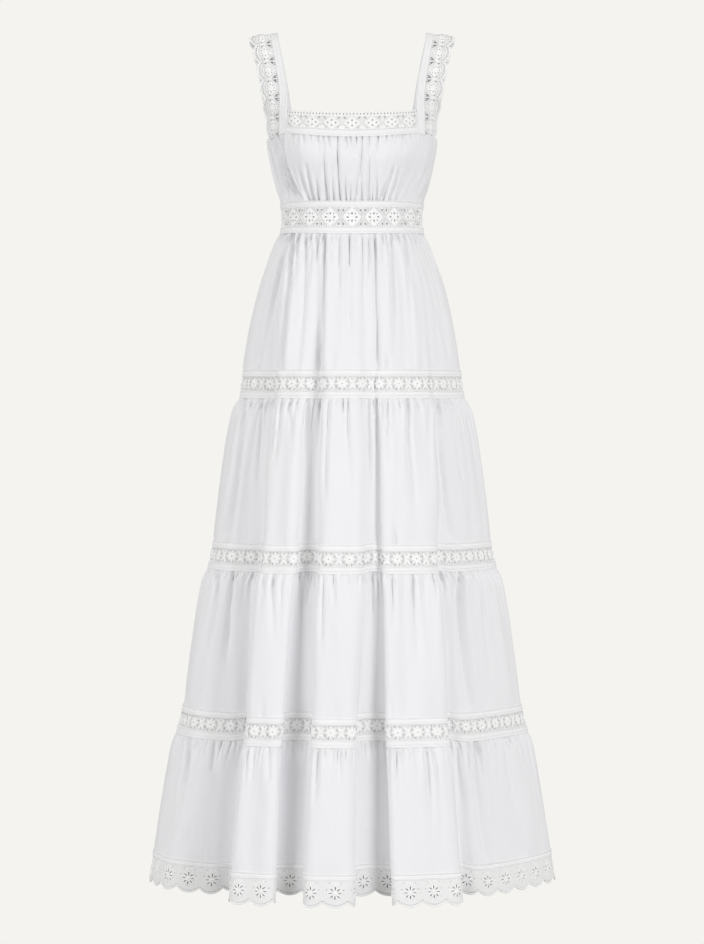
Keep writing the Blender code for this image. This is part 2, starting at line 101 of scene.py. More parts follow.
def setWorld():
    # the camera sees clean paper, and the dress is lit a little less than that
    world = bpy.data.worlds.new("paper")
    world.use_nodes = True
    tree = world.node_tree
    lit = tree.nodes["Background"]
    lit.inputs["Color"].default_value = (*studio["fill"], 1)
    seen = tree.nodes.new("ShaderNodeBackground")
    seen.inputs["Color"].default_value = (*studio["paper"], 1)
    mixForCamera(tree, lit, seen, tree.nodes["World Output"])
    bpy.context.scene.world = world


def setFloor():
    # plain paper: it glows as the backdrop does to the camera and is matt to all other light
    bpy.ops.mesh.primitive_circle_add(
        vertices=64,
        radius=studio["floorRadius"],
        fill_type="NGON",
        location=(0, 0, studio["floorZ"]),
    )
    floor = bpy.context.object
    floor.name = "floor"
    material = bpy.data.materials.new("floorPaper")
    material.use_nodes = True
    tree = material.node_tree
    matt = tree.nodes["Principled BSDF"]
    white = (*[studio["floorWhite"]] * 3, 1)
    setInputs(matt, {"Base Color": white, "Roughness": 1, "Specular IOR Level": 0})
    glow = tree.nodes.new("ShaderNodeEmission")
    glow.inputs["Color"].default_value = (*studio["paper"], 1)
    mixForCamera(tree, matt, glow, tree.nodes["Material Output"])
    floor.data.materials.append(material)


def setLight():
    scene = bpy.context.scene
    scene.view_settings.view_transform = "Standard"
    for name, place, size, watts in studio["boxes"]:
        box = bpy.data.objects.new(name, bpy.data.lights.new(name, "AREA"))
        scene.collection.objects.link(box)
        box.data.size = size
        box.data.energy = watts
        box.data.color = studio["boxColour"]
        box.location = place
        aim = Vector(studio["boxTarget"]) - box.location
        box.rotation_euler = aim.to_track_quat("-Z", "Y").to_euler()


# ---- tables of the form, as in the CAD

seams = {
    "neckTop": -141.0,
    "picot": 8.0,
    "neckLace": 22.0,
    "neckBottom": -181.0,
    "neckDip": (8.0, 11.5),  # at the neckline and at the seam under it
    "sideTop": -187.0,
    "backBandTop": -147.0,
    "waistTop": -293.0,
    "waistBottom": -343.0,
    "waistDrop": (4.6, 8.0),  # the waist band's two seams hang lower at the front
    "waistTape": 10.0,
    "bandTape": (10.5, 12.5),
    "bandHeight": 46.5,
    "bandTops": (-574.0, -865.0, -1146.5),
    "hemTapeTop": -1395.0,
    "hemTip": -1448.0,
}

Section = namedtuple("Section", "z halfWidth front back")
Pleat = namedtuple("Pleat", "x0 x1 x2 start end width0 width1 depth0 depth1")

bodiceSections = (
    Section(-141, 145, 104, 98),
    Section(-188, 144.5, 116, 100),
    Section(-225, 138.5, 120, 97),
    Section(-260, 130.5, 111, 92),
    Section(-293, 120.5, 99, 88),
    Section(-318, 118, 97, 87),
    Section(-343, 121.5, 100, 90),
)

# one run of sections for each tier, from its top seam to its bottom seam
tierSections = (
    (
        Section(-343, 121.5, 100, 90),
        Section(-372, 135.5, 114, 106),
        Section(-430, 156, 134, 130),
        Section(-500, 172, 150, 149),
        Section(-574, 184, 163, 163),
    ),
    (
        Section(-620.5, 190, 169, 169),
        Section(-646, 203, 181, 181),
        Section(-740, 219, 195, 196),
        Section(-865, 233.5, 209, 210),
    ),
    (
        Section(-911.5, 243, 217, 218),
        Section(-938, 254.5, 228, 229),
        Section(-1040, 271, 243, 243),
        Section(-1146.5, 284, 254, 255),
    ),
    (
        Section(-1193, 295, 263, 264),
        Section(-1222, 304, 271, 272),
        Section(-1305, 319, 284, 285),
        Section(-1395, 333, 297, 298),
    ),
)

# A fold is a groove between two lobes or, as a "bend", one point of a plain panel. Its two
# ends are angles at the waist, the three insertions and the hem, and depths are at the last
# four. "left" and "right" name a crisp lip on that side, which stands right in front of the
# groove's floor, and "rolled" is crisp on the right and rolls in on the left.
Fold = namedtuple("Fold", "left right kind depths lift")

grooves = (
    Fold((-78,) * 5, (-78,) * 5, "bend", (-1, -2.5, -4, -5), 12),
    Fold((-63,) * 5, (-63,) * 5, "bend", (0, 0, 0, 1), 8),
    Fold((-57, -54, -53, -52, -52), (-53, -42.2, -38.2, -35.8, -34.7), "right", (14, 36, 60, 74), 6),
    Fold(
        (-26.5, -22.4, -22.4, -22.8, -20.8),
        (-20.9, -15, -13.1, -12.6, -12.9),
        "rolled",
        (13, 25, 33, 29),
        12,
    ),
    Fold((14, 6.2, 4.2, 1.2, 0.7), (20.1, 12.9, 12.2, 11, 10.8), "rolled", (6, 11, 25, 30), 12),
    Fold((50, 45, 35.5, 32, 30.8), (56, 51, 44, 41, 40), "left", (4, 14, 30, 38), 12),
    Fold((62, 61, 60, 60, 60), (62, 61, 60, 60, 60), "bend", (1, 4, 9, 13), 9),
    Fold((78,) * 5, (78,) * 5, "bend", (-1, -2.5, -4, -5), 13),
    Fold((102,) * 5, (102,) * 5, "bend", (-1, -2.5, -4, -5), 10),
    Fold((117,) * 5, (117,) * 5, "bend", (0, 0, 1, 2), 6),
    Fold((126, 127, 128, 128, 128), (133, 138, 142, 144, 145), "right", (9, 30, 50, 62), 10),
    Fold((156, 155, 154, 153, 152), (160, 161, 162, 162, 162), "rolled", (9, 15, 25, 30), 11),
    Fold((184, 183, 182, 181, 180), (189, 190, 191, 191, 191), "rolled", (9, 15, 25, 30), 11),
    Fold((214, 213, 212, 211, 211), (224, 226, 228, 229, 229), "left", (7, 20, 42, 58), 10),
    Fold((240,) * 5, (240,) * 5, "bend", (3, 12, 25, 34), 7),
    Fold((258,) * 5, (258,) * 5, "bend", (-1, -2.5, -4, -5), 11),
)

folds = {
    "crest": (4, 7, 11, 14),  # how far the lobes stand out, at the insertions and the hem
    "lipFall": (5.5, 6, 6.5, 7),  # a lobe turns back by that much at its lip
    "lipLift": 0.1,
    "turn": 5.15,  # degrees over which it does, on a ring of 100 mm
    "under": (-4, -2.5, 0, 1.2, 1.6),  # how far a crisp lip overhangs its groove
    "rollStart": (0.35, 0.2, 0.03, 0),  # the floor begins at that share of a rolled groove
    "rollDepth": 0.68,
    "bulge": 0.6,  # depth of the panel beside a groove, as a share of the groove's own
    "bulgeLift": 0.5,
    "sideLift": 14.0,
    "liftShare": (0, 0.25, 0.65, 1),
    "frontDrop": (9, 6, 3, 0),
    "halfWidths": (121.5, 187, 238.3, 289.5, 341),
    "grades": (0, 1, 2, 3, 4),
}

# ---- small tools


def atGrade(grade, values):
    return float(np.interp(grade, folds["grades"], values))


def byGrade(grade, values):
    return atGrade(grade, (0, *values))


def smoothTable(rows, field, at):
    # a smooth line through a table that doesn't overshoot its values
    z = np.array([row.z for row in rows], float)[::-1]
    v = np.array([getattr(row, field) for row in rows], float)[::-1]
    step = np.diff(z)
    slope = np.diff(v) / step
    tangent = np.concatenate([[slope[0]], np.zeros(len(z) - 2), [slope[-1]]])
    for i in range(1, len(z) - 1):
        if slope[i - 1] * slope[i] > 0:
            tangent[i] = 2 * slope[i - 1] * slope[i] / (slope[i - 1] + slope[i])
    at = np.clip(np.asarray(at, float), z[0], z[-1])
    i = np.clip(np.searchsorted(z, at) - 1, 0, len(z) - 2)
    t = (at - z[i]) / step[i]
    ends = (1 + 2 * t) * (1 - t) ** 2 * v[i] + t**2 * (3 - 2 * t) * v[i + 1]
    bends = t * (1 - t) ** 2 * tangent[i] + t**2 * (t - 1) * tangent[i + 1]
    return ends + step[i] * bends


def ovalPoint(size, degrees, out=0.0):
    turn = np.radians(degrees)
    depth = np.where(np.cos(turn) > 0, size[1], size[2])
    return (size[0] + out) * np.sin(turn), -(depth + out) * np.cos(turn)


def curveThrough(points, segment, share, closed):
    # smooth curve through a run of points, at a share of each given segment
    count = len(points)
    index = segment[:, None] + np.array([-1, 0, 1, 2])
    index = index % count if closed else np.clip(index, 0, count - 1)
    p0, p1, p2, p3 = (points[index[:, k]] for k in range(4))
    gaps = [np.sqrt(np.linalg.norm(b - a, axis=1)) for a, b in ((p0, p1), (p1, p2), (p2, p3))]
    g0, g1, g2 = (np.maximum(g, 1e-3)[:, None] for g in gaps)
    m1 = (p1 - p0) / g0 - (p2 - p0) / (g0 + g1) + (p2 - p1) / g1
    m2 = (p2 - p1) / g1 - (p3 - p1) / (g1 + g2) + (p3 - p2) / g2
    m1 = m1 * g1
    m2 = m2 * g1
    t = share[:, None]
    return (
        (2 * t**3 - 3 * t**2 + 1) * p1
        + (t**3 - 2 * t**2 + t) * m1
        + (3 * t**2 - 2 * t**3) * p2
        + (t**3 - t**2) * m2
    )


def softStep(value, low, high):
    t = np.clip((value - low) / (high - low), 0, 1)
    return t * t * (3 - 2 * t)


# ---- meshes: a bag collects points, faces and cloth coordinates of one piece


def newBag():
    return {"points": [], "faces": [], "uvs": [], "count": 0}


def addTo(bag, points, faces, uvs):
    bag["faces"] += [group + bag["count"] for group in faces if len(group)]
    bag["points"].append(points)
    bag["uvs"].append(uvs)
    bag["count"] += len(points)


def makeObject(name, bag, material):
    points = np.concatenate(bag["points"]) * mm
    uvs = np.concatenate(bag["uvs"]) * mm
    corners = np.concatenate([group.ravel() for group in bag["faces"]]).astype(np.int32)
    sides = np.concatenate([np.full(len(group), group.shape[1]) for group in bag["faces"]])
    mesh = bpy.data.meshes.new(name)
    mesh.vertices.add(len(points))
    mesh.vertices.foreach_set("co", points.ravel())
    mesh.loops.add(len(corners))
    mesh.loops.foreach_set("vertex_index", corners)
    mesh.polygons.add(len(sides))
    mesh.polygons.foreach_set("loop_start", (np.cumsum(sides) - sides).astype(np.int32))
    mesh.update(calc_edges=True)
    layer = mesh.uv_layers.new(name="cloth")
    layer.data.foreach_set("uv", uvs[corners].ravel())
    mesh.validate()
    mesh.shade_smooth()
    mesh.set_sharp_from_angle(angle=math.radians(50))
    mesh.materials.append(material)
    obj = bpy.data.objects.new(name, mesh)
    bpy.context.scene.collection.objects.link(obj)
    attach(obj, "root")
    return obj


def declare(piece, node, flat, hangsFrom, extras=(), slot="white_lace"):
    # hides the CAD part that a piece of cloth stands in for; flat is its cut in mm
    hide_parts(node)
    for one in (piece, *extras):
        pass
    size = tuple(side * mm for side in flat)
    extras = list(extras)
    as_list(hangsFrom)
    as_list(extras)


def gridFaces(rows, columns, closed=False):
    r = np.arange(rows - 1)[:, None]
    c = np.arange(columns if closed else columns - 1)[None, :]
    d = (c + 1) % columns
    corners = [r * columns + c, (r + 1) * columns + c, (r + 1) * columns + d, r * columns + d]
    return np.stack([np.broadcast_to(k, (rows - 1, c.size)) for k in corners], -1).reshape(-1, 4)


def pointNormals(points, faces):
    normals = np.zeros_like(points)
    for group in faces:
        a, b, c = (points[group[:, k]] for k in (0, 1, 2))
        face = np.cross(b - a, c - a)
        if group.shape[1] == 4:
            face = np.cross(c - a, points[group[:, 3]] - b)
        for k in range(group.shape[1]):
            np.add.at(normals, group[:, k], face)
    return normals / np.maximum(np.linalg.norm(normals, axis=1), 1e-9)[:, None]


def addShell(bag, points, faces, uvs, outer, inner):
    # a wall: the surface lifted by outer and by inner, joined along its open edges
    normals = pointNormals(points, faces)
    lifts = [np.broadcast_to(lift, len(points))[:, None] for lift in (outer, inner)]
    count = len(points)
    edges = np.concatenate(
        [group[:, [k, (k + 1) % group.shape[1]]] for group in faces for k in range(group.shape[1])]
    )
    code = np.sort(edges, 1) @ np.array([count, 1])
    _, first, uses = np.unique(code, return_index=True, return_counts=True)
    rim = edges[first[uses == 1]]
    sides = np.stack([rim[:, 1], rim[:, 0], rim[:, 0] + count, rim[:, 1] + count], -1)
    back = [group[:, ::-1] + count for group in faces]
    both = np.concatenate([points + normals * lifts[0], points + normals * lifts[1]])
    addTo(bag, both, [*faces, *back, sides], np.concatenate([uvs, uvs]))


# ---- strips: a stretch of cloth that knows its length s and its height h at each point


def runAlong(points):
    # the length run up to each point of a line
    return np.append(0, np.cumsum(np.linalg.norm(np.diff(points, axis=0), axis=1)))


def makeStrip(rows, heights, closed=False):
    p = np.array(rows)
    middle = p[len(p) // 2]
    s = runAlong(np.concatenate([middle, middle[:1]]) if closed else middle)
    if closed:
        p = np.concatenate([p, p[:, :1]], 1)
    along = np.gradient(p, axis=1)
    if closed:
        wrap = p[:, 1] - p[:, -2]
        along[:, 0] = wrap / 2
        along[:, -1] = wrap / 2
    n = np.cross(np.gradient(p, axis=0), along)
    n /= np.linalg.norm(n, axis=2)[:, :, None]
    h = np.array(heights, float)
    return {"p": p, "n": n, "s": s, "h": h, "closed": closed, "length": s[-1]}


def stepOf(marks, at):
    # the step of a table in which each value lies, and how far along that step it is
    k = np.clip(np.searchsorted(marks, at, side="right") - 1, 0, len(marks) - 2)
    return k, ((at - marks[k]) / (marks[k + 1] - marks[k]))[..., None]


def onStrip(strip, s, h, lift=0.0):
    s, h = np.broadcast_arrays(np.asarray(s, float), np.asarray(h, float))
    if strip["closed"]:
        s = s % strip["length"]
    j, u = stepOf(strip["s"], s)
    i, v = stepOf(strip["h"], h)

    def blended(grid):
        top = grid[i, j] * (1 - u) + grid[i, j + 1] * u
        return top * (1 - v) + (grid[i + 1, j] * (1 - u) + grid[i + 1, j + 1] * u) * v

    lift = np.broadcast_to(lift, s.shape)[..., None]
    return blended(strip["p"]) + blended(strip["n"]) * lift


def addMotif(bag, strip, motif, sPlaces, hPlace, base=0.0):
    # the same small raised shape at each place along a strip
    points, faces = motif
    for s in sPlaces:
        spots = np.stack([s + points[:, 0], hPlace - points[:, 1]], -1)
        placed = onStrip(strip, spots[:, 0], spots[:, 1], base + points[:, 2])
        addTo(bag, placed, faces, spots)


def evenly(length, pitch):
    # places in the middle of equal steps along a length
    count = int(length / pitch)
    return (np.arange(count) + 0.5) * length / count


def makeTape(name, node, strip, ends, hangsFrom, thick, step, ripple, seed):
    # a folded tape: round edges and two stitched lines between three ridges
    h0, h1 = ends
    count = max(int(strip["length"] / step), 8)
    across = (0, 0.06, 0.2, 0.31, 0.5, 0.69, 0.8, 0.94, 1)
    height = np.array((0.1, 0.85, 1, 0.45, 1, 0.45, 1, 0.85, 0.1)) * thick
    s = np.arange(count + (0 if strip["closed"] else 1)) * strip["length"] / count
    h = h0 + (h1 - h0) * np.array(across)
    random = np.random.default_rng(seed)
    waves = np.zeros((len(h), len(s)))
    for wave in (9, 14, 23):
        turns = round(strip["length"] / wave)
        phase = random.uniform(0, 6.28) + np.linspace(0, 0.8, len(h))[:, None]
        waves += np.sin(2 * np.pi * turns * s / strip["length"] + phase) * ripple / 3
    hGrid, sGrid = np.meshgrid(h, s, indexing="ij")
    points = onStrip(strip, sGrid, hGrid, waves).reshape(-1, 3)
    uvs = np.stack([sGrid, hGrid - h0], -1).reshape(-1, 2)
    faces = [gridFaces(len(h), len(s), strip["closed"])]
    bag = newBag()
    addShell(bag, points, faces, uvs, np.repeat(height, len(s)), -0.3)
    band = makeObject(name, bag, tape)
    declare(band, node, (strip["length"], h1 - h0), hangsFrom, slot="white_tape")


# ---- motifs of the lace, flat: x along the strip, y up, and a height


def petal(length, width, height, start=0.0, turn=0.0, rows=5, centre=(0, 0)):
    # a satin-stitched petal: a small pillow with a vein
    t = np.linspace(0, 1, rows + 1)
    half = width / 2 * np.sin(np.pi * np.clip(t, 0.02, 0.98) ** 0.8) ** 0.75
    across = np.array([-1, -0.55, 0, 0.55, 1])
    dome = np.array([0, 0.85, 0.62, 0.85, 0])
    x = half[:, None] * across
    y = (start + length * t)[:, None] + 0 * x
    z = height * dome * np.sin(np.pi * np.clip(t, 0.12, 0.88))[:, None] ** 0.4
    c, s = math.cos(turn), math.sin(turn)
    points = np.stack([x * c + y * s + centre[0], -x * s + y * c + centre[1], z], -1).reshape(-1, 3)
    return points, [gridFaces(rows + 1, 5)[:, ::-1]]


# threads, seen across: how far to each side, and how high
halfRound = ((-1, 0), (-0.6, 0.8), (0, 1), (0.6, 0.8), (1, 0))
flatTop = ((-1, 0), (-0.5, 1), (0.5, 1), (1, 0))
softRim = ((-1, 0), (-0.3, 1), (0.5, 0.8), (1, 0))


def cord(path, width, height, closed=False, profile=halfRound, level=False):
    # a thread along a flat path; a level one runs all the way round the dress
    path = np.asarray(path, float)
    count, sides = len(path), len(profile)
    if level:
        along = np.broadcast_to((1.0, 0.0), path.shape)
    elif closed:
        along = np.roll(path, -1, 0) - np.roll(path, 1, 0)
    else:
        along = np.gradient(path, axis=0)
    along = along / np.linalg.norm(along, axis=1)[:, None]
    side = np.stack([along[:, 1], -along[:, 0]], -1)
    across, rise = np.array(profile, float).T
    flat = path[:, None, :] + side[:, None, :] * across[None, :, None] * width / 2
    z = np.broadcast_to(rise * height, (count, sides))[..., None]
    points = np.concatenate([flat, z], -1).reshape(-1, 3)
    r = np.arange(count if closed else count - 1) * sides
    q = (r + sides) % (count * sides)
    faces = [np.stack([r + k, r + k + 1, q + k + 1, q + k], -1) for k in range(sides - 1)]
    if profile != softRim:  # the many small rims have no underside
        faces.append(np.stack([r + sides - 1, r, q, q + sides - 1], -1))
    if not closed:
        ring = np.arange(sides)
        faces += [np.roll(ring, -1)[None, :], (count * sides - 1 - ring)[None, :]]
    return points, faces


def longCord(bag, strip, hAt, width, height, base, step=3.0):
    # a thread along the whole strip, at height hAt(s)
    closed = strip["closed"]
    s = np.linspace(0, strip["length"], max(int(strip["length"] / step), 2) + 1)
    s = s[:-1] if closed else s
    path = np.stack([s, -hAt(s)], -1)
    profile = flatTop if closed else halfRound
    addMotif(bag, strip, cord(path, width, height, closed, profile, closed), [0.0], 0.0, base)


def allRound(count, start=0.0):
    # that many directions, evenly round a circle
    return (np.arange(count) + start) * 2 * np.pi / count


def oval(width, height, centre=(0, 0), count=10, turn=0.0, point=0.0):
    # points of an oval, or of a drop when point is over 0
    a = allRound(count)
    x = np.sin(a) * width / 2 * (1 - point * np.clip(np.cos(a), 0, 1) ** 2)
    y = np.cos(a) * height / 2
    c, s = math.cos(turn), math.sin(turn)
    return np.stack([x * c + y * s + centre[0], -x * s + y * c + centre[1]], -1)


def button(radius, height, centre=(0, 0), count=8):
    # a small dome
    rings = [np.append(p, 0) for p in oval(radius * 2, radius * 2, centre, count)]
    rings += [np.append(p, height * 0.8) for p in oval(radius * 1.1, radius * 1.1, centre, count)]
    rings.append(np.array([*centre, height]))
    a = np.arange(count)
    b = (a + 1) % count
    side = np.stack([a, b, b + count, a + count], -1)[:, ::-1]
    top = np.stack([a + count, b + count, np.full(count, 2 * count)], -1)[:, ::-1]
    return np.array(rings), [side, top, a[None, :]]


def joined(*motifs):
    points, faces, count = [], [], 0
    for p, groups in motifs:
        points.append(p)
        faces += [group + count for group in groups]
        count += len(p)
    return np.concatenate(points), faces


def insideOf(points, loop):
    ahead = np.roll(loop, -1, 0)
    x, y = points[:, :1], points[:, 1:]
    crosses = (loop[:, 1] > y) != (ahead[:, 1] > y)
    rise = np.where(ahead[:, 1] == loop[:, 1], 1, ahead[:, 1] - loop[:, 1])
    at = loop[:, 0] + (y - loop[:, 1]) / rise * (ahead[:, 0] - loop[:, 0])
    return (crosses & (x < at)).sum(1) % 2 == 1


def cutPlate(outline, holes, inner, nearest=1.6):
    # triangles of a flat shape with holes: the loops' points come first, in their order
    loops = [outline, *holes]
    fixed = np.concatenate(loops)
    keep = insideOf(inner, outline)
    for hole in holes:
        keep &= ~insideOf(inner, hole)
    inner = inner[keep]
    gaps = np.linalg.norm(inner[:, None] - fixed[None], axis=2).min(1)
    inner = inner[gaps > nearest]
    edges, start = [], 0
    for loop in loops:
        count = len(loop)
        edges += [(start + k, start + (k + 1) % count) for k in range(count)]
        start += count
    points = [Vector(p) for p in np.concatenate([fixed, inner]).tolist()]
    found = delaunay_2d_cdt(points, edges, [], 0, 1e-6)
    flat = np.array([tuple(p) for p in found[0]])
    triangles = np.array([tuple(face) for face in found[2]])
    middles = flat[triangles].mean(1)
    keep = insideOf(middles, outline)
    for hole in holes:
        keep &= ~insideOf(middles, hole)
    triangles = triangles[keep]
    a, b, c = (flat[triangles[:, k]] for k in range(3))
    turned = (b - a)[:, 0] * (c - a)[:, 1] - (b - a)[:, 1] * (c - a)[:, 0] < 0
    triangles[turned] = triangles[turned][:, ::-1]
    return flat, triangles


def embroidered(outline, holes, height, shares, dips):
    # a solid satin-stitched shape with a sloped edge, its surface lower along each ring by dips
    outline = np.asarray(outline)
    rings = [outline * share for share in shares]
    flat, triangles = cutPlate(outline, holes, np.concatenate([*rings, [(0.0, 0.0)]]), 0.7)
    loops = len(outline) + sum(len(hole) for hole in holes)
    reach = np.linalg.norm(outline, axis=1).mean()
    away = np.linalg.norm(flat, axis=1) / reach
    z = height * np.interp(away, (0, *shares[::-1]), dips)
    z[: len(outline)] = 0
    z[len(outline) : loops] = height * 0.35
    return np.column_stack([flat, z]), [triangles]


def diamondOutline(width, height, waves=16, depth=0.07, count=48):
    a = allRound(count)
    reach = 1 / (np.abs(np.sin(a)) / (width / 2) + np.abs(np.cos(a)) / (height / 2))
    reach = np.minimum(reach * 1.12, max(width, height) / 2) * (1 + depth * np.cos(waves * a))
    return np.stack([np.sin(a) * reach, np.cos(a) * reach], -1)


def flowerOutline(radius, petals, depth=0.42, count=6):
    a = allRound(petals * count)
    reach = radius * (1 - depth + depth * np.abs(np.cos(petals * a / 2)) ** 0.6)
    return np.stack([np.sin(a) * reach, np.cos(a) * reach], -1)


def diamondRosette(width, height, eyelets, rise=1.0):
    # a filled diamond with a scalloped edge, cut through by eyelets, with a knot in the middle
    outline = diamondOutline(width, height)
    plate = embroidered(outline, eyelets, rise, (0.86, 0.55, 0.3), (0.8, 0.75, 1.0, 0.9))
    return joined(plate, button(1.9, rise + 0.6))


def daisy(radius, petals, rise=1.0):
    # a filled flower, open in the middle and with a corded ring round that
    outline, eye = flowerOutline(radius, petals), oval(1.8, 1.8, count=6)
    plate = embroidered(outline, [eye], rise, (0.88, 0.62, 0.36), (0.6, 0.7, 1.0, 0.95))
    return joined(plate, cord(oval(3.8, 3.8, count=8), 1.2, rise + 0.4, closed=True))


def ovals(places, width, height, count=6):
    return [oval(width, height, place, count) for place in places]


def makeShade(name, material, strip, holes, starts, hTop, behind=0.8):
    # painted shade of the openings: a dark sheet close behind each of them stands in for the shade
    # inside
    bag = newBag()
    for s in starts:
        for hole in holes:
            spots = hole + (s, hTop)
            placed = onStrip(strip, spots[:, 0], spots[:, 1], -behind)
            ahead = np.roll(hole, -1, 0)
            facing = (hole[:, 0] * ahead[:, 1] - hole[:, 1] * ahead[:, 0]).sum() < 0
            order = np.arange(len(hole))[:: 1 if facing else -1]
            addTo(bag, placed, [order[None, :]], spots)
    return makeObject(name, bag, material)


def cutCell(wide, tall, holes, counts, grid, edgeAt=None, nearest=1.6):
    # one cell of a lace as a flat plate; counts are the points along its top, sides and edge
    top, side, low = counts
    sides = np.linspace(0, float(edgeAt(0.0)) if edgeAt else tall, side)
    outline = [(x, 0.0) for x in np.linspace(0, wide, top)] + [(wide, h) for h in sides[1:-1]]
    outline += [(x, float(edgeAt(x)) if edgeAt else tall) for x in np.linspace(wide, 0, low)]
    outline = np.array(outline + [(0.0, h) for h in sides[-2:0:-1]])
    places = np.arange(grid / 2, wide, grid), np.arange(grid / 2, tall + 6, grid)
    inner = np.stack(np.meshgrid(*places), -1).reshape(-1, 2)
    flat, triangles = cutPlate(outline, holes, inner, nearest)
    return flat, triangles[:, ::-1]


def makeGround(names, materials, strip, cells, tall, hTop, holes, edgeAt=None, first=0.0):
    # the ground of a lace and the painted shade behind its openings: one cell is cut out and laid
    # along the strip
    wide = strip["length"] / cells
    steps = max(int(round(wide / 4.2)), 4) + 1
    side = max(int(round((edgeAt(0.0) if edgeAt else tall) / 5)), 2) + 1
    counts = (steps, side, 17 if edgeAt else steps)
    flat, triangles = cutCell(wide, tall, holes, counts, 5.0, edgeAt)
    cell = np.column_stack([flat[:, 0], -flat[:, 1], 0 * flat[:, 0]]), [triangles]
    bag = newBag()
    starts = first + np.arange(cells) * wide
    addMotif(bag, strip, cell, starts, hTop)
    ground = makeObject(names[0], bag, materials[0])
    return ground, makeShade(names[1], materials[1], strip, holes, starts, hTop)


def crossSprig(width, height, leafWidth):
    # four leaves set as a cross between two flowers
    reach = math.hypot(width, height) / 2
    lean = math.atan2(width, height)
    parts = [
        petal(reach - 1.0, leafWidth, 1.0, 1.0, turn, 4)
        for turn in (lean, math.pi - lean, math.pi + lean, -lean)
    ]
    for reach, turns in ((width * 0.5, (math.pi / 2, -math.pi / 2)), (height * 0.28, (0, math.pi))):
        parts += [petal(reach, leafWidth * 0.7, 0.9, 0.6, turn, 3) for turn in turns]
    parts.append(button(1.5, 1.3))
    return joined(*parts)


# ---- materials


def startGroup(name, inputs, outputs):
    # a node group, its sockets as seen from inside, and a function that adds sums to it
    group = bpy.data.node_groups.new(name, "ShaderNodeTree")
    for label, value in inputs.items():
        item = group.interface.new_socket(
            name=label, in_out="INPUT", socket_type="NodeSocketFloat"
        )
        item.default_value = value
    for label in outputs:
        group.interface.new_socket(name=label, in_out="OUTPUT", socket_type="NodeSocketFloat")

    def calc(operation, *values):
        return mathNode(group, operation, *values)

    entry, leave = group.nodes.new("NodeGroupInput"), group.nodes.new("NodeGroupOutput")
    return group, entry.outputs, leave.inputs, calc


def feed(tree, value, slot):
    # a number is set on the slot, a socket is linked to it
    if isinstance(value, (int, float)):
        slot.default_value = value
    else:
        tree.links.new(value, slot)


def setInputs(node, values):
    for name, value in values.items():
        node.inputs[name].default_value = value


def mathNode(tree, operation, *values):
    node = tree.nodes.new("ShaderNodeMath")
    node.operation = operation
    for value, slot in zip(values, node.inputs):
        feed(tree, value, slot)
    return node.outputs[0]


def vectorNode(tree, *values):
    node = tree.nodes.new("ShaderNodeCombineXYZ")
    for value, slot in zip(values, node.inputs):
        feed(tree, value, slot)
    return node.outputs[0]


def splitNode(tree, vector):
    node = tree.nodes.new("ShaderNodeSeparateXYZ")
    tree.links.new(vector, node.inputs[0])
    return node.outputs


def noiseNode(tree, vector, scale, detail, roughness=0.5):
    node = tree.nodes.new("ShaderNodeTexNoise")
    tree.links.new(vector, node.inputs["Vector"])
    feed(tree, scale, node.inputs["Scale"])
    setInputs(node, {"Detail": detail, "Roughness": roughness})
    return node.outputs["Fac"]


def clothPlace(tree):
    # where a point lies on its cloth: metres along it and down it
    node = tree.nodes.new("ShaderNodeUVMap")
    node.uv_map = "cloth"
    return node.outputs["UV"]


def clothWeaveGroup():
    # plain weave from the cloth's own coordinates, with uneven threads
    inputs = {"Threads per metre": 1400, "Unevenness": 0.5}
    group, entry, leave, calc = startGroup("clothWeave", inputs, ("Height", "Slubs"))
    cloth = clothPlace(group)
    split = splitNode(group, cloth)
    waves = []
    for axis in ("X", "Y"):
        turns = calc("MULTIPLY", split[axis], entry["Threads per metre"])
        waves.append(calc("SINE", calc("MULTIPLY", turns, math.pi)))
    weave = calc("MULTIPLY", *waves)
    slubs = []
    for stretch in ((40, 1400, 1), (1400, 40, 1)):
        mapping = group.nodes.new("ShaderNodeMapping")
        mapping.inputs["Scale"].default_value = stretch
        group.links.new(cloth, mapping.inputs["Vector"])
        slubs.append(noiseNode(group, mapping.outputs[0], 1, 1))
    both = calc("ADD", *slubs)
    uneven = calc("MULTIPLY", both, entry["Unevenness"])
    group.links.new(calc("MULTIPLY_ADD", weave, 0.5, uneven), leave["Height"])
    group.links.new(calc("MULTIPLY", both, 0.5), leave["Slubs"])
    return group


def softCreasesGroup():
    # soft crumples and faint mottling, the same in every piece
    inputs = {"Size": 30, "Stretch": 0.35}
    group, entry, leave, calc = startGroup("softCreases", inputs, ("Height", "Mottle"))
    split = splitNode(group, group.nodes.new("ShaderNodeTexCoord").outputs["Object"])
    tall = calc("MULTIPLY", split["Z"], entry["Stretch"])
    place = vectorNode(group, split["X"], split["Y"], tall)
    for output, factor in (("Height", 1.0), ("Mottle", 0.21)):
        size = calc("MULTIPLY", entry["Size"], factor)
        group.links.new(noiseNode(group, place, size, 3, 0.45), leave[output])
    return group


def stitchRowGroup():
    # a row of machine stitches along the cloth, at a distance from its edge
    inputs = {"From edge": 0.0015, "Stitches per metre": 330, "Width": 0.0004}
    group, entry, leave, calc = startGroup("stitchRow", inputs, ("Mask",))
    split = splitNode(group, clothPlace(group))
    away = calc("SUBTRACT", split["Y"], entry["From edge"])
    away = calc("ABSOLUTE", away)
    near = calc("LESS_THAN", away, entry["Width"])
    along = calc("MULTIPLY", split["X"], entry["Stitches per metre"])
    dash = calc("LESS_THAN", calc("FRACT", along), 0.72)
    group.links.new(calc("MULTIPLY", near, dash), leave["Mask"])
    return group


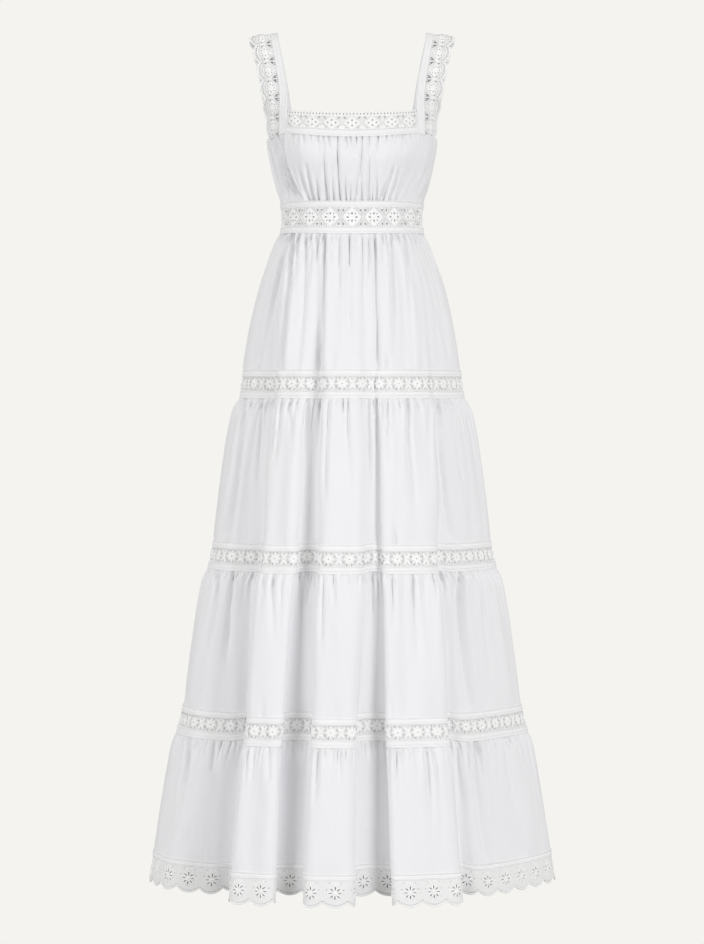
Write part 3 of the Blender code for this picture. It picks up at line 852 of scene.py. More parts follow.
def seamPuckersGroup():
    # fine gathers below a seam and above the far one, dying away from it
    inputs = {"Lines per metre": 230, "Reach": 0.03, "Far seam": 9.0}
    group, entry, leave, calc = startGroup("seamPuckers", inputs, ("Height",))
    split = splitNode(group, clothPlace(group))
    fromTop = calc("ABSOLUTE", split["Y"])
    toFar = calc("SUBTRACT", entry["Far seam"], split["Y"])
    near = calc("MINIMUM", fromTop, calc("ABSOLUTE", toFar))
    heights = []
    for finer, longer, share in ((1.0, 1.0, 1.0), (0.42, 3.2, 1.3)):
        lines = calc("MULTIPLY", entry["Lines per metre"], finer)
        across = calc("MULTIPLY", split["X"], lines)
        place = vectorNode(group, across, calc("MULTIPLY", split["Y"], 16 / longer))
        reach = calc("MULTIPLY", entry["Reach"], longer)
        left = calc("SUBTRACT", 1.0, calc("DIVIDE", near, reach))
        fade = calc("POWER", calc("MAXIMUM", left, 0.0), 1.5)
        wave = calc("MULTIPLY", noiseNode(group, place, 1, 0.5), fade)
        heights.append(calc("MULTIPLY", wave, share))
    group.links.new(calc("ADD", *heights), leave["Height"])
    return group


def netThreadsGroup():
    # the fine ground of the lace: level threads crossed by two slanting sets
    inputs = {"Threads per metre": 420, "Gap": 0.62}
    group, entry, leave, calc = startGroup("netThreads", inputs, ("Threads",))
    split = splitNode(group, clothPlace(group))
    lines = []
    for slant in (1.0, -1.0, 0.0):
        across = calc("MULTIPLY_ADD", split["X"], slant, split["Y"])
        turns = calc("MULTIPLY", across, entry["Threads per metre"])
        wave = calc("SINE", calc("MULTIPLY", turns, math.pi))
        wave = calc("ABSOLUTE", wave)
        lines.append(calc("GREATER_THAN", wave, entry["Gap"]))
    slanting = calc("MAXIMUM", lines[0], lines[1])
    group.links.new(calc("MAXIMUM", slanting, lines[2]), leave["Threads"])
    return group


def placeGroup(tree, group, values):
    node = tree.nodes.new("ShaderNodeGroup")
    node.node_tree = group
    setInputs(node, values)
    return node


def mixColour(tree, factor, first, second):
    # the second is a colour, or the socket of an earlier one
    node = tree.nodes.new("ShaderNodeMix")
    node.data_type = "RGBA"
    tree.links.new(factor, node.inputs["Factor"])
    node.inputs["A"].default_value = (*first, 1)
    if isinstance(second, tuple):
        node.inputs["B"].default_value = (*second, 1)
    else:
        tree.links.new(second, node.inputs["B"])
    return node.outputs["Result"]


def rangeNode(tree, value, low, high):
    node = tree.nodes.new("ShaderNodeMapRange")
    tree.links.new(value, node.inputs["Value"])
    setInputs(node, {"From Min": 0.3, "From Max": 0.7, "To Min": low, "To Max": high})
    return node.outputs["Result"]


def addBump(tree, height, distance, strength, before=None):
    node = tree.nodes.new("ShaderNodeBump")
    setInputs(node, {"Distance": distance, "Strength": strength})
    tree.links.new(height, node.inputs["Height"])
    if before is not None:
        tree.links.new(before, node.inputs["Normal"])
    return node.outputs["Normal"]


def clothMaterial(name, look, stitchedAt=()):
    material = bpy.data.materials.new(name)
    material.use_nodes = True
    tree = material.node_tree
    shader = tree.nodes["Principled BSDF"]
    woven = placeGroup(tree, weaveGroup, look["weave"])
    soft = placeGroup(tree, creaseGroup, look["creases"])
    colour = mixColour(tree, soft.outputs["Mottle"], look["dark"], look["light"])
    normal = addBump(tree, soft.outputs["Height"], look["creaseDepth"], 1.0)
    normal = addBump(tree, woven.outputs["Height"], look["threadDepth"], 0.8, normal)
    for fromEdge in stitchedAt:
        row = placeGroup(tree, stitchRows, {"From edge": fromEdge})
        normal = addBump(tree, row.outputs["Mask"], 0.0004, 0.9, normal)
    if "puckers" in look:
        gathered = placeGroup(tree, puckerGroup, look["puckers"])
        normal = addBump(tree, gathered.outputs["Height"], look["puckerDepth"], 1.0, normal)
    # painted shade: a net's gaps between its threads get the look's grey gap colour, for the dark
    # seen through them
    if "gap" in look:
        mesh = placeGroup(tree, netGroup, look["mesh"])
        colour = mixColour(tree, mesh.outputs["Threads"], look["gap"], colour)
        normal = addBump(tree, mesh.outputs["Threads"], 0.0005, 0.8, normal)
    tree.links.new(colour, shader.inputs["Base Color"])
    middle = look["roughness"]
    rough = rangeNode(tree, woven.outputs["Slubs"], middle - 0.06, middle + 0.06)
    tree.links.new(rough, shader.inputs["Roughness"])
    tree.links.new(normal, shader.inputs["Normal"])
    setInputs(shader, {"Sheen Weight": look["sheen"], "Sheen Roughness": 0.5})
    setInputs(shader, {"Specular IOR Level": look["specular"]})
    return material


cottonLook = {
    "light": (0.845, 0.845, 0.862),
    "dark": (0.815, 0.815, 0.838),
    "weave": {"Threads per metre": 1500, "Unevenness": 0.6},
    "threadDepth": 0.00012,
    "creases": {"Size": 26, "Stretch": 0.35},
    "creaseDepth": 0.0035,
    "roughness": 0.82,
    "sheen": 0.12,
    "specular": 0.25,
    "puckerDepth": 0.0022,
    "puckers": {"Lines per metre": 250, "Reach": 0.026},
}

bodiceCottonLook = {
    **cottonLook,
    "puckers": {"Lines per metre": 260, "Reach": 0.022, "Far seam": 0.104},
}

tapeLook = {
    "light": (0.9, 0.9, 0.905),
    "dark": (0.865, 0.865, 0.872),
    "weave": {"Threads per metre": 1300, "Unevenness": 0.5},
    "threadDepth": 0.00015,
    "creases": {"Size": 60, "Stretch": 1},
    "creaseDepth": 0.001,
    "roughness": 0.8,
    "sheen": 0.1,
    "specular": 0.25,
}

threadLook = {
    "light": (0.97, 0.97, 0.97),
    "dark": (0.945, 0.945, 0.945),
    "weave": {"Threads per metre": 2400, "Unevenness": 1},
    "threadDepth": 0.0002,
    "creases": {"Size": 120, "Stretch": 1},
    "creaseDepth": 0.0006,
    "roughness": 0.72,
    "sheen": 0.15,
    "specular": 0.35,
}


def greys(look, **shares):
    # the same look in other greys
    return {**look, **{name: (share,) * 3 for name, share in shares.items()}}


# the threads keep their own white; gap is painted shade, the grey of the dark seen through the net's
# openings
netLook = greys(threadLook, light=0.86, dark=0.8, gap=0.52)
netLook["mesh"] = {"Threads per metre": 420, "Gap": 0.66}
edgingLook = greys(netLook, light=0.88, dark=0.84, gap=0.7)
# painted shade behind openings: dark sheets under the hem, behind straps and waist, behind the other
# lace
shadeLook = {**greys(threadLook, light=0.2, dark=0.16), "sheen": 0.0}
midShadeLook = greys(shadeLook, light=0.3, dark=0.25)
paleShadeLook = greys(shadeLook, light=0.48, dark=0.42)
hemClothLook = greys(tapeLook, light=0.84, dark=0.8)


# ---- the skirt's rings


def foldGrade(z):
    middles = [top - seams["bandHeight"] / 2 for top in seams["bandTops"]]
    marks = (seams["hemTip"], *middles[::-1], seams["waistBottom"])
    return float(np.interp(z, marks, folds["grades"][::-1]))


def floorAngle(lip, out, depth, grade, side):
    # a groove's floor lies straight behind its lip, a little under the lobe
    wide, under = atGrade(grade, folds["halfWidths"]), atGrade(grade, folds["under"])
    facing = 1 if math.cos(math.radians(lip)) > 0 else -1
    x = (wide + out) * math.sin(math.radians(lip)) + side * facing * under
    turned = math.degrees(math.asin(max(-1, min(1, x / (wide + depth)))))
    return turned if facing > 0 else 180 - turned


def foldPoints(fold, grade):
    # (angle, out, lift) from the left lobe's shoulder to the right lobe's
    left, right = atGrade(grade, fold.left), atGrade(grade, fold.right)
    depth = -byGrade(grade, fold.depths)
    if fold.kind == "bend":
        return [(left, depth, fold.lift)]
    crest = byGrade(grade, folds["crest"])
    lip = crest - byGrade(grade, folds["lipFall"])
    turn = folds["turn"] * 100 / (121 + 55 * grade)
    lipLift = folds["lipLift"] * fold.lift
    if fold.kind == "left":
        floor = floorAngle(left, lip, depth, grade, -1)
        lobe = [(left - turn, crest, 0.0), (left, lip, lipLift), (floor, depth, fold.lift)]
        return [*lobe, (right, depth * folds["bulge"], fold.lift * folds["bulgeLift"])]
    floor = floorAngle(right, lip, depth, grade, 1)
    lobe = [(floor, depth, fold.lift), (right, lip, lipLift), (right + turn, crest, 0.0)]
    if fold.kind == "right":
        return [(left, depth * folds["bulge"], fold.lift * folds["bulgeLift"]), *lobe]
    start = floorAngle(left, lip, depth * folds["rollDepth"], grade, 0)
    start += (floor - start) * byGrade(max(grade, 1), folds["rollStart"])
    rolled = [(left - turn, crest, 0.0), (left, lip, lipLift)]
    return [*rolled, (start, depth * folds["rollDepth"], fold.lift), *lobe]


def foldColumns(grade):
    crest = byGrade(grade, folds["crest"])
    columns = [(-90.0, 0.0, folds["sideLift"])]
    for before, fold in zip((None, *grooves), grooves):
        points = foldPoints(fold, grade)
        left, right = columns[-1][0], points[0][0]
        if left < 90 < right:
            columns.append((90.0, 0.0, folds["sideLift"]))
        elif before and before.kind in ("right", "rolled") and fold.kind in ("left", "rolled"):
            columns.append(((left + right) / 2, crest, 0.0))
        columns += points
    return columns


def skirtRing(z, sections):
    grade = foldGrade(z)
    size = [float(smoothTable(sections, field, z)) for field in ("halfWidth", "front", "back")]
    angle, out, lift = np.array(foldColumns(grade)).T
    x, y = ovalPoint(size, angle, out)
    facing = np.maximum(0, np.cos(np.radians(angle)))
    rise = lift * byGrade(grade, folds["liftShare"]) - byGrade(grade, folds["frontDrop"]) * facing
    rise = rise - seams["waistDrop"][1] * facing**2 * max(0.0, 1 - grade)
    return np.stack([x, y, z + rise], -1)


def ringColumns(points, spacing):
    # segment number and share along it of each column, close to evenly spaced
    lengths = np.linalg.norm(np.roll(points, -1, 0) - points, axis=1)
    counts = np.maximum(np.round(lengths / spacing), 1).astype(int)
    segment = np.repeat(np.arange(len(points)), counts)
    share = np.concatenate([np.arange(c) / c for c in counts])
    return segment, share


bandSections = [(above[-1], below[0]) for above, below in zip(tierSections, tierSections[1:])]
hemSections = (tierSections[3][-1], Section(seams["hemTip"], 341, 303, 304))


def ringStrip(top, bottom, sections, rows=4, spacing=2.6):
    heights = np.linspace(0, top - bottom, rows)
    segment, share = ringColumns(skirtRing(bottom, sections), spacing)
    grid = [curveThrough(skirtRing(top - h, sections), segment, share, True) for h in heights]
    return makeStrip(grid, heights, closed=True)


# ---- the tiers. A row is one Pleat: it runs through x0, x1 and x2 from start to end, in mm
# below the seam, and has a width and a depth at both ends

tier1Pleats = (
    (-116, -146, -168, 0, 217, 3.5, 9, 4.5, 4),
    (-112, -132, -160, 0, 190, 3.2, 7, 9, 2.2),
    (-99, -107, -121, 0, 226, 2.8, 5, 9, 2.4),
    (-89, -94, -102, 0, 80, 2.4, 4, 6, 0.6),
    (-78, -81, -91, 0, 209, 3.2, 7, 5.5, 1),
    (-68, -70, -74, 0, 71, 2.2, 4, 3.5, 0.5),
    (-57, -58, -61, 0, 120, 2.4, 6, 3, 0.6),
    (-46, -48.5, -53, 0, 228, 2.6, 5, 7.2, 2.2),
    (-33, -34, -35, 0, 48, 2.2, 3, 2.5, 0.5),
    (-21, -22, -22, 0, 90, 2.2, 4.5, 4.6, 0.6),
    (-10, -10, -10, 0, 38, 2, 3, 2.5, 0.5),
    (-3, -6, -5, 0, 150, 2.4, 8, 6.4, 1),
    (18, 18, 19, 0, 120, 2.4, 7, 5.6, 0.8),
    (28, 28, 28, 0, 52, 2.2, 3.5, 2.5, 0.5),
    (39, 40, 43, 0, 228, 2.4, 4.5, 5.4, 1.4),
    (48, 52, 54, 0, 89, 2.4, 5, 2.5, 0.5),
    (65, 69, 75, 0, 147, 2.4, 6, 3.2, 0.8),
    (87, 96, 102, 0, 155, 2.4, 6, 3.6, 0.8),
    (103, 114, 126, 55, 195, 3, 7, 1.6, 0.8),
    (121, 141, 162, 35, 211, 2.6, 4.5, 2.2, 1.2),
    (-35, -33, -32, 192, 231, 4, 2.6, 0.3, 1.6),
    (56, 58, 59, 190, 231, 4, 2.6, 0.3, 1.6),
    (113, 114, 116, 196, 231, 4, 2.4, 0.3, 1.8),
)

tier2Pleats = (
    (-180, -193, -213, 0, 208, 3.6, 8, 7.6, 6),
    (-168, -172, -177, 0, 54, 2.4, 5, 3.5, 0.5),
    (-151, -153, -157, 0, 136, 2.4, 6, 4.5, 2),
    (-129, -133, -138, 0, 84, 2.6, 4, 4.5, 1.5),
    (-115, -123, -134, 0, 100, 2.4, 4.5, 4.2, 1),
    (-102, -101, -100, 0, 60, 2.2, 4, 2.6, 0.4),
    (-90, -89, -89, 0, 30, 2, 3, 2, 0.4),
    (-72, -76, -82, 0, 90, 2.6, 7, 4.5, 1.5),
    (-53, -53.5, -54, 0, 74, 2.4, 4, 2.6, 0.5),
    (-39, -43, -46, 0, 144, 2.4, 4.5, 4.2, 1.5),
    (-26, -25, -22, 0, 34, 2, 3, 2.2, 0.4),
    (-15, -15, -14, 0, 27, 2, 3, 1.8, 0.3),
    (-7, -7, -2, 0, 119, 2.2, 7, 5, 0.8),
    (16, 17, 18, 0, 30, 2, 3, 2, 0.3),
    (28, 28.5, 30, 0, 128, 2.4, 6, 4.5, 1.2),
    (40, 41, 42, 0, 70, 2.3, 4, 1.6, 0.3),
    (49, 49, 49, 0, 34, 2, 3, 2.2, 0.3),
    (59, 59, 62, 0, 113, 2.4, 6, 5, 0.8),
    (92, 95, 108, 0, 152, 2.4, 7, 4.8, 1.2),
    (112, 118, 126, 45, 100, 2.6, 4, 1.6, 0.5),
    (125, 126, 127, 0, 32, 2, 3, 2, 0.3),
    (143, 147, 166, 0, 219, 2.5, 10, 5.5, 2.5),
    (164, 178, 192, 12, 190, 2.6, 5, 3.2, 1.2),
    (175, 180, 187, 0, 41, 2.4, 4, 2.6, 0.5),
    (67, 71, 73, 206, 244.5, 4.5, 2.6, 0.4, 3.2),
    (-90, -89, -88, 219, 244.5, 4, 2.4, 0.3, 2),
    (-11, -11, -11, 222, 244.5, 4, 2.4, 0.3, 1.8),
)

tier3Pleats = (
    (-224, -231, -255, 0, 118, 3, 8, 6, 3),
    (-198, -204, -210, 0, 135, 2.6, 8, 5, 2.5),
    (-144, -143, -142, 0, 37, 2.2, 4, 2.4, 0.4),
    (-129, -129, -126, 0, 100, 2.5, 7, 3.8, 0.8),
    (-85, -84, -84, 0, 67, 2.5, 6, 4.2, 1),
    (-70, -71, -74, 0, 52, 2.5, 5, 3, 0.5),
    (-47, -50, -52, 0, 106, 2.4, 5.5, 4.4, 1.2),
    (-30, -30, -30, 0, 45, 2.2, 4, 3.4, 0.4),
    (-16, -16, -15, 19, 55, 2.4, 5, 2, 0.4),
    (0, 1, 2, 0, 39, 2.2, 4, 1.8, 0.4),
    (34, 34, 36, 0, 77, 2.4, 5, 4.4, 0.8),
    (65, 66, 67, 0, 94, 2.6, 7, 5.5, 1.2),
    (83, 83, 82, 0, 39, 2.2, 4, 2.2, 0.4),
    (100, 103, 113, 0, 123, 2.5, 8, 5, 1.2),
    (114, 116, 121, 0, 38, 2.3, 4, 2.6, 0.4),
    (145, 149, 153, 0, 108, 2.5, 6, 3, 1),
    (162, 163, 167, 0, 47, 2.4, 5, 3.2, 0.5),
    (180, 182, 197, 0, 191, 3.2, 12, 9.5, 2.6),
    (197, 200, 206, 0, 39, 2.4, 4, 3, 0.5),
    (215, 222, 233, 30, 194, 3, 6, 2.2, 1),
    (63, 64, 63, 187, 235, 6, 3, 0.5, 2.6),
    (-145, -145, -146, 206, 235, 4.5, 2.6, 0.3, 1.8),
    (-27, -27, -27, 207, 235, 4.5, 2.6, 0.3, 1.8),
)

tier4Pleats = (
    (-272, -277, -295, 0, 91, 3.2, 8, 6, 2.5),
    (-226, -228, -231, 0, 52, 2.8, 7, 4, 1),
    (-159, -159, -160, 0, 35, 2.4, 4, 2.6, 0.4),
    (-135, -134, -133, 0, 53, 2.6, 6, 3, 0.5),
    (-96, -96, -97, 0, 32, 2.4, 4, 2.4, 0.3),
    (-55, -58, -62, 0, 85, 2.6, 6, 4.4, 1),
    (-42, -42, -42, 0, 28, 2.2, 4, 2.6, 0.4),
    (-33, -33, -32, 0, 28, 2.2, 4, 2.2, 0.4),
    (-25, -22, -18, 0, 47, 2.4, 5, 3.4, 0.5),
    (30, 30, 30, 0, 35, 2.4, 5, 2.6, 0.4),
    (72, 71, 67, 0, 86, 2.6, 7, 4.8, 1.2),
    (83, 83, 83, 0, 32, 2.2, 4, 2.2, 0.4),
    (119, 123, 128, 0, 84, 2.6, 7, 4.6, 1),
    (127, 130, 134, 0, 27, 2.2, 4, 2.4, 0.4),
    (172, 173, 182, 0, 96, 2.8, 8, 2.6, 1.2),
    (204, 208, 222, 0, 168, 3.6, 14, 10, 2.6),
    (225, 228, 232, 0, 33, 2.4, 4, 2.2, 0.4),
    (255, 262, 274, 0, 98, 3, 8, 3.6, 1),
    (-262, -272, -280, 150, 176, 3.5, 3, 1.4, 2.2),
)

tierPleats = (tier1Pleats, tier2Pleats, tier3Pleats, tier4Pleats)

tierLook = {
    "fine": 1.75,  # spacing of the columns near the gathers
    "topRows": (0, 2.2, 4.6, 7.2, 10.2, 13.8, 18, 23, 29, 36.5),  # below the seam
    "gatherZone": 46.0,  # below this the columns are twice as far apart
    "rowStep": 12.0,
    "thickness": 0.7,
    "cut": (1150, 1600, 2150, 2550),  # round, before gathering
    "wave": 2.2,
    "puff": 1.0,  # the cloth rounds out a little under its top seam
    "pucker": 0.4,  # of the cloth above its bottom seam
    "puckerWidth": 9.0,
    "crimp": 7.6,  # from one pucker under the seam to the next
    "crimpDepth": (1.5, 1.0, 0.9, 0.9),
    "pitch": 5.0,  # of the small gathers along the top seam
    "gatherDepth": (1.5, 4.8),
    "gatherWidth": (0.9, 1.7),
    "gatherLength": (8, 50),
    "pleats": ((1.15, 3.0, 1.5), (1.2, 2.6, 1.35), (1.3, 2.4, 1.3), (1.3, 2.4, 1.3)),
    "small": (0.75, 0.85, 1.0, 1.0),
    "longPitch": (8.0, 12.0, 16.0, 20.0),  # of the longer ones, tier by tier
    "long": {"gatherDepth": (1.6, 5.2), "gatherWidth": (1.8, 3.4), "gatherLength": (60, 190)},
    "atSeam": 0.34,  # share of a pleat's depth that is left in the seam
    "freeBelow": 8.0,
    "heldBelow": 0.92,  # how much of it the seam at the foot takes away again
    "hidden": 3.0,  # how far the top edge reaches under the tape
}


def pleatLift(pleat, x, down, length):
    # how far one pleat sinks the cloth, with a low ridge on each side of it
    share = np.clip((down - pleat.start) / (pleat.end - pleat.start), 0, 1)
    centre = pleat.x0 * (1 - share) * (1 - 2 * share) + 4 * pleat.x1 * share * (1 - share)
    centre = centre + pleat.x2 * share * (2 * share - 1)
    away = (x - centre) / (pleat.width0 + (pleat.width1 - pleat.width0) * 0.6 * share)
    fade = pleat.depth0 + (pleat.depth1 - pleat.depth0) * share
    run = pleat.end - pleat.start
    if pleat.start > 0:
        fade = fade * softStep(down, pleat.start - 2, pleat.start + 0.3 * run)
    if pleat.end < length - 1:
        fade = fade * (1 - softStep(down, pleat.end - 0.4 * run, pleat.end))
    ridges = np.exp(-((np.abs(away) - 2.3) ** 2)) * 0.2
    return fade * (ridges - 1 / (1 + away**2) ** 1.5)


def pressed(pleat, factors, length):
    # a pleat with its depths at both ends and its reach changed by three factors
    above, below, reach = factors
    end = pleat.end if pleat.start else min(pleat.end * reach, length)
    return pleat._replace(end=end, depth0=pleat.depth0 * above, depth1=pleat.depth1 * below)


def backPleats(pleats, random):
    # similar pleats for the side that faces away
    moved = []
    for pleat in pleats:
        shift = random.uniform(-9, 9)
        stretch = random.uniform(0.92, 1.03)
        deep = random.uniform(0.75, 1.1)
        across = [shift - x * stretch for x in pleat[:3]]
        moved.append(Pleat(*across, *pleat[3:7], pleat.depth0 * deep, pleat.depth1 * deep))
    return moved


def smallGathers(angle, down, girth, look, random, reach=(0.0, 2 * math.pi)):
    # fine pleats fanning down from the seam, each its own depth, width and length
    lift = np.zeros_like(angle)
    first, last = reach
    count = int(girth * (last - first) / (2 * np.pi) / look["pitch"])
    shares = (np.arange(count) + random.uniform(-0.34, 0.34, count)) / count
    short, long = look["gatherLength"]
    for place in first + shares * (last - first):
        size = random.uniform(0, 1) ** 1.8
        length = short + size * (long - short)
        shallow, deep = look["gatherDepth"]
        depth = shallow + (0.3 * random.uniform() + 0.7 * size) * (deep - shallow)
        width = random.uniform(*look["gatherWidth"])
        lean = random.uniform(-0.05, 0.05)
        turn = (angle - place + np.pi) % (2 * np.pi) - np.pi
        spread = width * (1 + down / (length * 0.6 + 8))
        away = (turn * girth / (2 * np.pi) + lean * down) / spread
        fade = np.clip(1 - down / length, 0, 1) ** 1.4
        near = np.abs(away) < 6
        lift -= np.where(near, depth * fade / (1 + away**2) ** 2, 0)
    return lift


def broadWaves(angle, down, length, random, height):
    # long soft waves down the whole panel
    lift = np.zeros_like(angle)
    for turns in (13, 19, 29, 43):
        phase = random.uniform(0, 2 * np.pi)
        drift = random.uniform(-1.2, 1.2)
        wave = np.sin(turns * angle + phase + drift * (down / length)[:, None])
        lift += height * wave / 2.2 * (0.4 + 0.6 * random.uniform())
    return lift * (softStep(down, 0, 40) * (1 - 0.4 * softStep(down, length - 30, length)))[:, None]


def tierForm(number):
    # the smooth tier before gathering: points, how far down each row is, and the way round
    look, sections = tierLook, tierSections[number]
    top, bottom = sections[0].z, sections[-1].z
    length = top - bottom
    rows = int(round((length - look["gatherZone"]) / look["rowStep"]))
    far = np.linspace(look["gatherZone"], length + look["hidden"], rows + 1)
    down = np.concatenate([[-look["hidden"]], look["topRows"], far])
    segment, share = ringColumns(skirtRing(bottom, sections), look["fine"])
    if len(segment) % 2:  # an even count lets the columns halve
        segment, share = segment[:-1], share[:-1]
    rings = [skirtRing(top - min(max(d, 0), length), sections) for d in down]
    points = np.array([curveThrough(ring, segment, share, True) for ring in rings])
    points[:, :, 2] -= (down - np.clip(down, 0, length))[:, None]
    steps = np.linalg.norm(np.roll(points[-1], -1, 0) - points[-1], axis=1)
    around = np.concatenate([[0], np.cumsum(steps)[:-1]]) / steps.sum() * 2 * np.pi
    return points, down, np.broadcast_to(around, points.shape[:2]), length


def crimps(number, around, down, girth):
    # narrow puckers right under the seam, in uneven groups
    turns = round(girth / tierLook["crimp"])
    uneven = 1.9 * np.sin(23 * around + number) + 1.1 * np.sin(61 * around)
    height = tierLook["crimpDepth"][number] * (0.75 + 0.45 * np.sin(37 * around + 2 * number))
    reach = (1 - softStep(down, 6, 40)) * softStep(down, -2, 5)
    return height * np.sin(turns * around + uneven) * reach[:, None]


def tierGathers(number, points, down, around, length):
    # how far the cloth stands out: gathers, crimps, waves and pleats laid over each other
    look = tierLook
    random = np.random.default_rng(40 + number)
    girth = np.linalg.norm(np.roll(points[1], -1, 0) - points[1], axis=1).sum()
    below = np.maximum(down, 0)[:, None]
    factor = look["small"][number]
    small = {**look, "gatherDepth": tuple(d * factor for d in look["gatherDepth"])}
    long = {**look["long"], "pitch": look["longPitch"][number]}
    lift = smallGathers(around, below, girth, small, random)
    lift += smallGathers(around, below, girth, long, random)
    lift += look["puff"] * (softStep(down, 0, 8) * (1 - softStep(down, 12, 60)))[:, None]
    lift += crimps(number, around, down, girth)
    lift += broadWaves(around, down, length, random, look["wave"])
    x, front = points[:, :, 0], points[:, :, 1] < 20
    pleats = [pressed(Pleat(*row), look["pleats"][number], length) for row in tierPleats[number]]
    for side, laid in ((front, pleats), (~front, backPleats(pleats, random))):
        for pleat in laid:
            lift += np.where(side, pleatLift(pleat, x, down[:, None], length), 0)
    held = look["atSeam"] + (1 - look["atSeam"]) * softStep(down, 0, look["freeBelow"])
    held *= 1 - look["heldBelow"] * softStep(down, length - 11, length - 1)
    lift *= held[:, None]
    pucker = np.sin(around * girth / look["puckerWidth"] + 1.3 * np.sin(around * 17))
    return lift + look["pucker"] * softStep(down, length - 14, length)[:, None] * pucker


def makeTier(number, material):
    # front and back of one tier, which meet at its two sides
    points, down, around, length = tierForm(number)
    lift = tierGathers(number, points, down, around, length)
    faces = [gridFaces(*points.shape[:2], True)]
    normals = pointNormals(points.reshape(-1, 3), faces).reshape(points.shape)
    points = points + normals * lift[..., None]
    run = runAlong(points[-1])
    side = int(np.argmax(points[-1, :, 0]))
    back = np.concatenate([points[:, side:], points[:, :1]], 1)
    backRun = np.append(run[side:], run[-1] + tierLook["fine"])
    halves = (("Front", points[:, : side + 1], run[: side + 1]), ("Back", back, backRun))
    name = f"tier{number + 1}"
    return [tierPiece(name + label, grid, s, down, material) for label, grid, s in halves]


def tierPiece(name, grid, s, down, material):
    # a wall whose columns halve in number below the gather zone
    if grid.shape[1] % 2 == 0:  # one more column where the count can't halve
        grid = np.concatenate([grid[:, :-1], (grid[:, -2:-1] + grid[:, -1:]) / 2, grid[:, -1:]], 1)
        s = np.concatenate([s[:-1], [(s[-2] + s[-1]) / 2], s[-1:]])
    near = len(tierLook["topRows"]) + 2
    parts = ((grid[:near], s, down[:near]), (grid[near:, ::2], s[::2], down[near:]))
    points = np.concatenate([part.reshape(-1, 3) for part, _, _ in parts])
    uvs = [np.stack(np.meshgrid(along, rows), -1).reshape(-1, 2) for _, along, rows in parts]
    columns, (rows, half) = grid.shape[1], parts[1][0].shape[:2]
    base = near * columns
    a = base - columns + 2 * np.arange(half - 1)
    b = base + np.arange(half - 1)
    joins = [(a, b, a + 1), (a + 1, b, b + 1), (a + 1, b + 1, a + 2)]
    joins = np.concatenate([np.stack(corners, -1) for corners in joins])
    faces = [gridFaces(near, columns), gridFaces(rows, half) + base, joins]
    bag = newBag()
    thick = tierLook["thickness"] / 2
    addShell(bag, points, faces, np.concatenate(uvs), thick, -thick)
    return makeObject(name, bag, material)


# ---- the bodice

bodiceLook = {
    "cupAngle": 33.0,
    "cupZ": -212.0,
    "cupStand": 9.0,
    "cupSpreadAngle": 16.0,
    "cupSpreadZ": 34.0,
    "neckEnd": 48.5,  # the neckline meets the straps at this angle
    "seamAtWaist": 39.7,
    "seamBow": 5.0,
    "lap": 1.8,  # the front panel laps over the side panels
    "lapLift": 0.9,
    "steps": (8.5, 7.5),  # folds of the left side panel: from one to the next, and how deep
    "stepLean": 26.0,  # how far they lean on the way down
    "radius": 128,  # a mean one, which turns angles into lengths
    "columnStep": 1.2,
    "backStep": 2.2,
    "rowStep": 3.4,
    "hidden": 2.5,
    "thickness": 0.7,
    "height": 104.0,  # of the front panel, which the pleats go by
}

frontPleats = (
    (-25, -23, -20, 14, 104, 2, 2.6, 4, 6),
    (-48, -46, -42, 10, 104, 2, 3.4, 3, 7),
    (18, 13, 4, 10, 104, 1.8, 3.4, 3.4, 4.4),
    (31, 29, 28, 12, 104, 1.8, 3, 2.4, 4.5),
    (-78, -72, -65, 40, 104, 2.4, 3.8, 3, 7),
    (-89, -82, -73, 48, 104, 2.4, 3.4, 3, 7),
    (-98, -92, -84, 52, 104, 2, 2.8, 2, 6),
    (72, 63, 53, 44, 104, 2.2, 2.8, 2, 6.5),
    (80, 72, 62, 50, 104, 2.2, 2.8, 1.5, 5),
    (66, 55, 46, 60, 104, 2, 2.6, 1.5, 5),
    (-60, -58, -56, 62, 104, 2, 2.5, 1.6, 5.5),
    (-34, -32, -30, 60, 104, 2, 2.5, 1.4, 5),
    (-12, -11, -10, 56, 104, 1.8, 2.4, 1.4, 5.5),
    (-4, -3, -3, 74, 104, 1.8, 2.2, 1.4, 4.5),
    (15, 16, 17, 52, 104, 1.8, 2.4, 1.4, 6),
    (41, 42, 41, 50, 104, 2, 2.6, 1.6, 5),
    (34, 35, 35, 76, 104, 1.8, 2.2, 1.2, 4.5),
    (-40, -37, -34, 0, 31, 1.8, 2.6, 4.5, 0.4),
    (-48, -48, -47, 0, 26, 1.8, 2.4, 4, 0.4),
    (-57, -57, -56, 0, 18, 1.8, 2.2, 3.6, 0.4),
    (-24, -24, -24, 0, 62, 1.8, 2.4, 5, 0.8),
    (-10, -7, -5, 0, 44, 2, 2.8, 4.5, 0.4),
    (-3, 0, 4, 0, 34, 1.8, 2.4, 3.6, 0.4),
    (8, 8, 9, 0, 20, 1.6, 2.2, 3.2, 0.4),
    (17, 16, 14, 0, 48, 1.8, 2.6, 4.4, 0.6),
    (29, 28, 27, 0, 40, 1.8, 2.6, 4.6, 0.6),
    (44, 42, 41, 0, 41, 1.8, 2.6, 4.2, 0.4),
    (57, 56, 54, 0, 26, 1.8, 2.4, 3.4, 0.4),
    (-69, -68, -67, 0, 23, 1.8, 2.4, 3.4, 0.3),
    (-82, -81, -80, 0, 17, 1.8, 2.2, 3, 0.3),
)

sidePleats = (
    (131, 118, 98, 38, 100, 4, 4, 0.8, 1.4),
    (126, 112, 92, 28, 90, 4, 4, 0.6, 1.1),
    (134, 125, 108, 62, 104, 4, 3.5, 0.5, 1.6),
    (137, 130, 117, 12, 74, 5, 5, 0.6, 0.9),
)

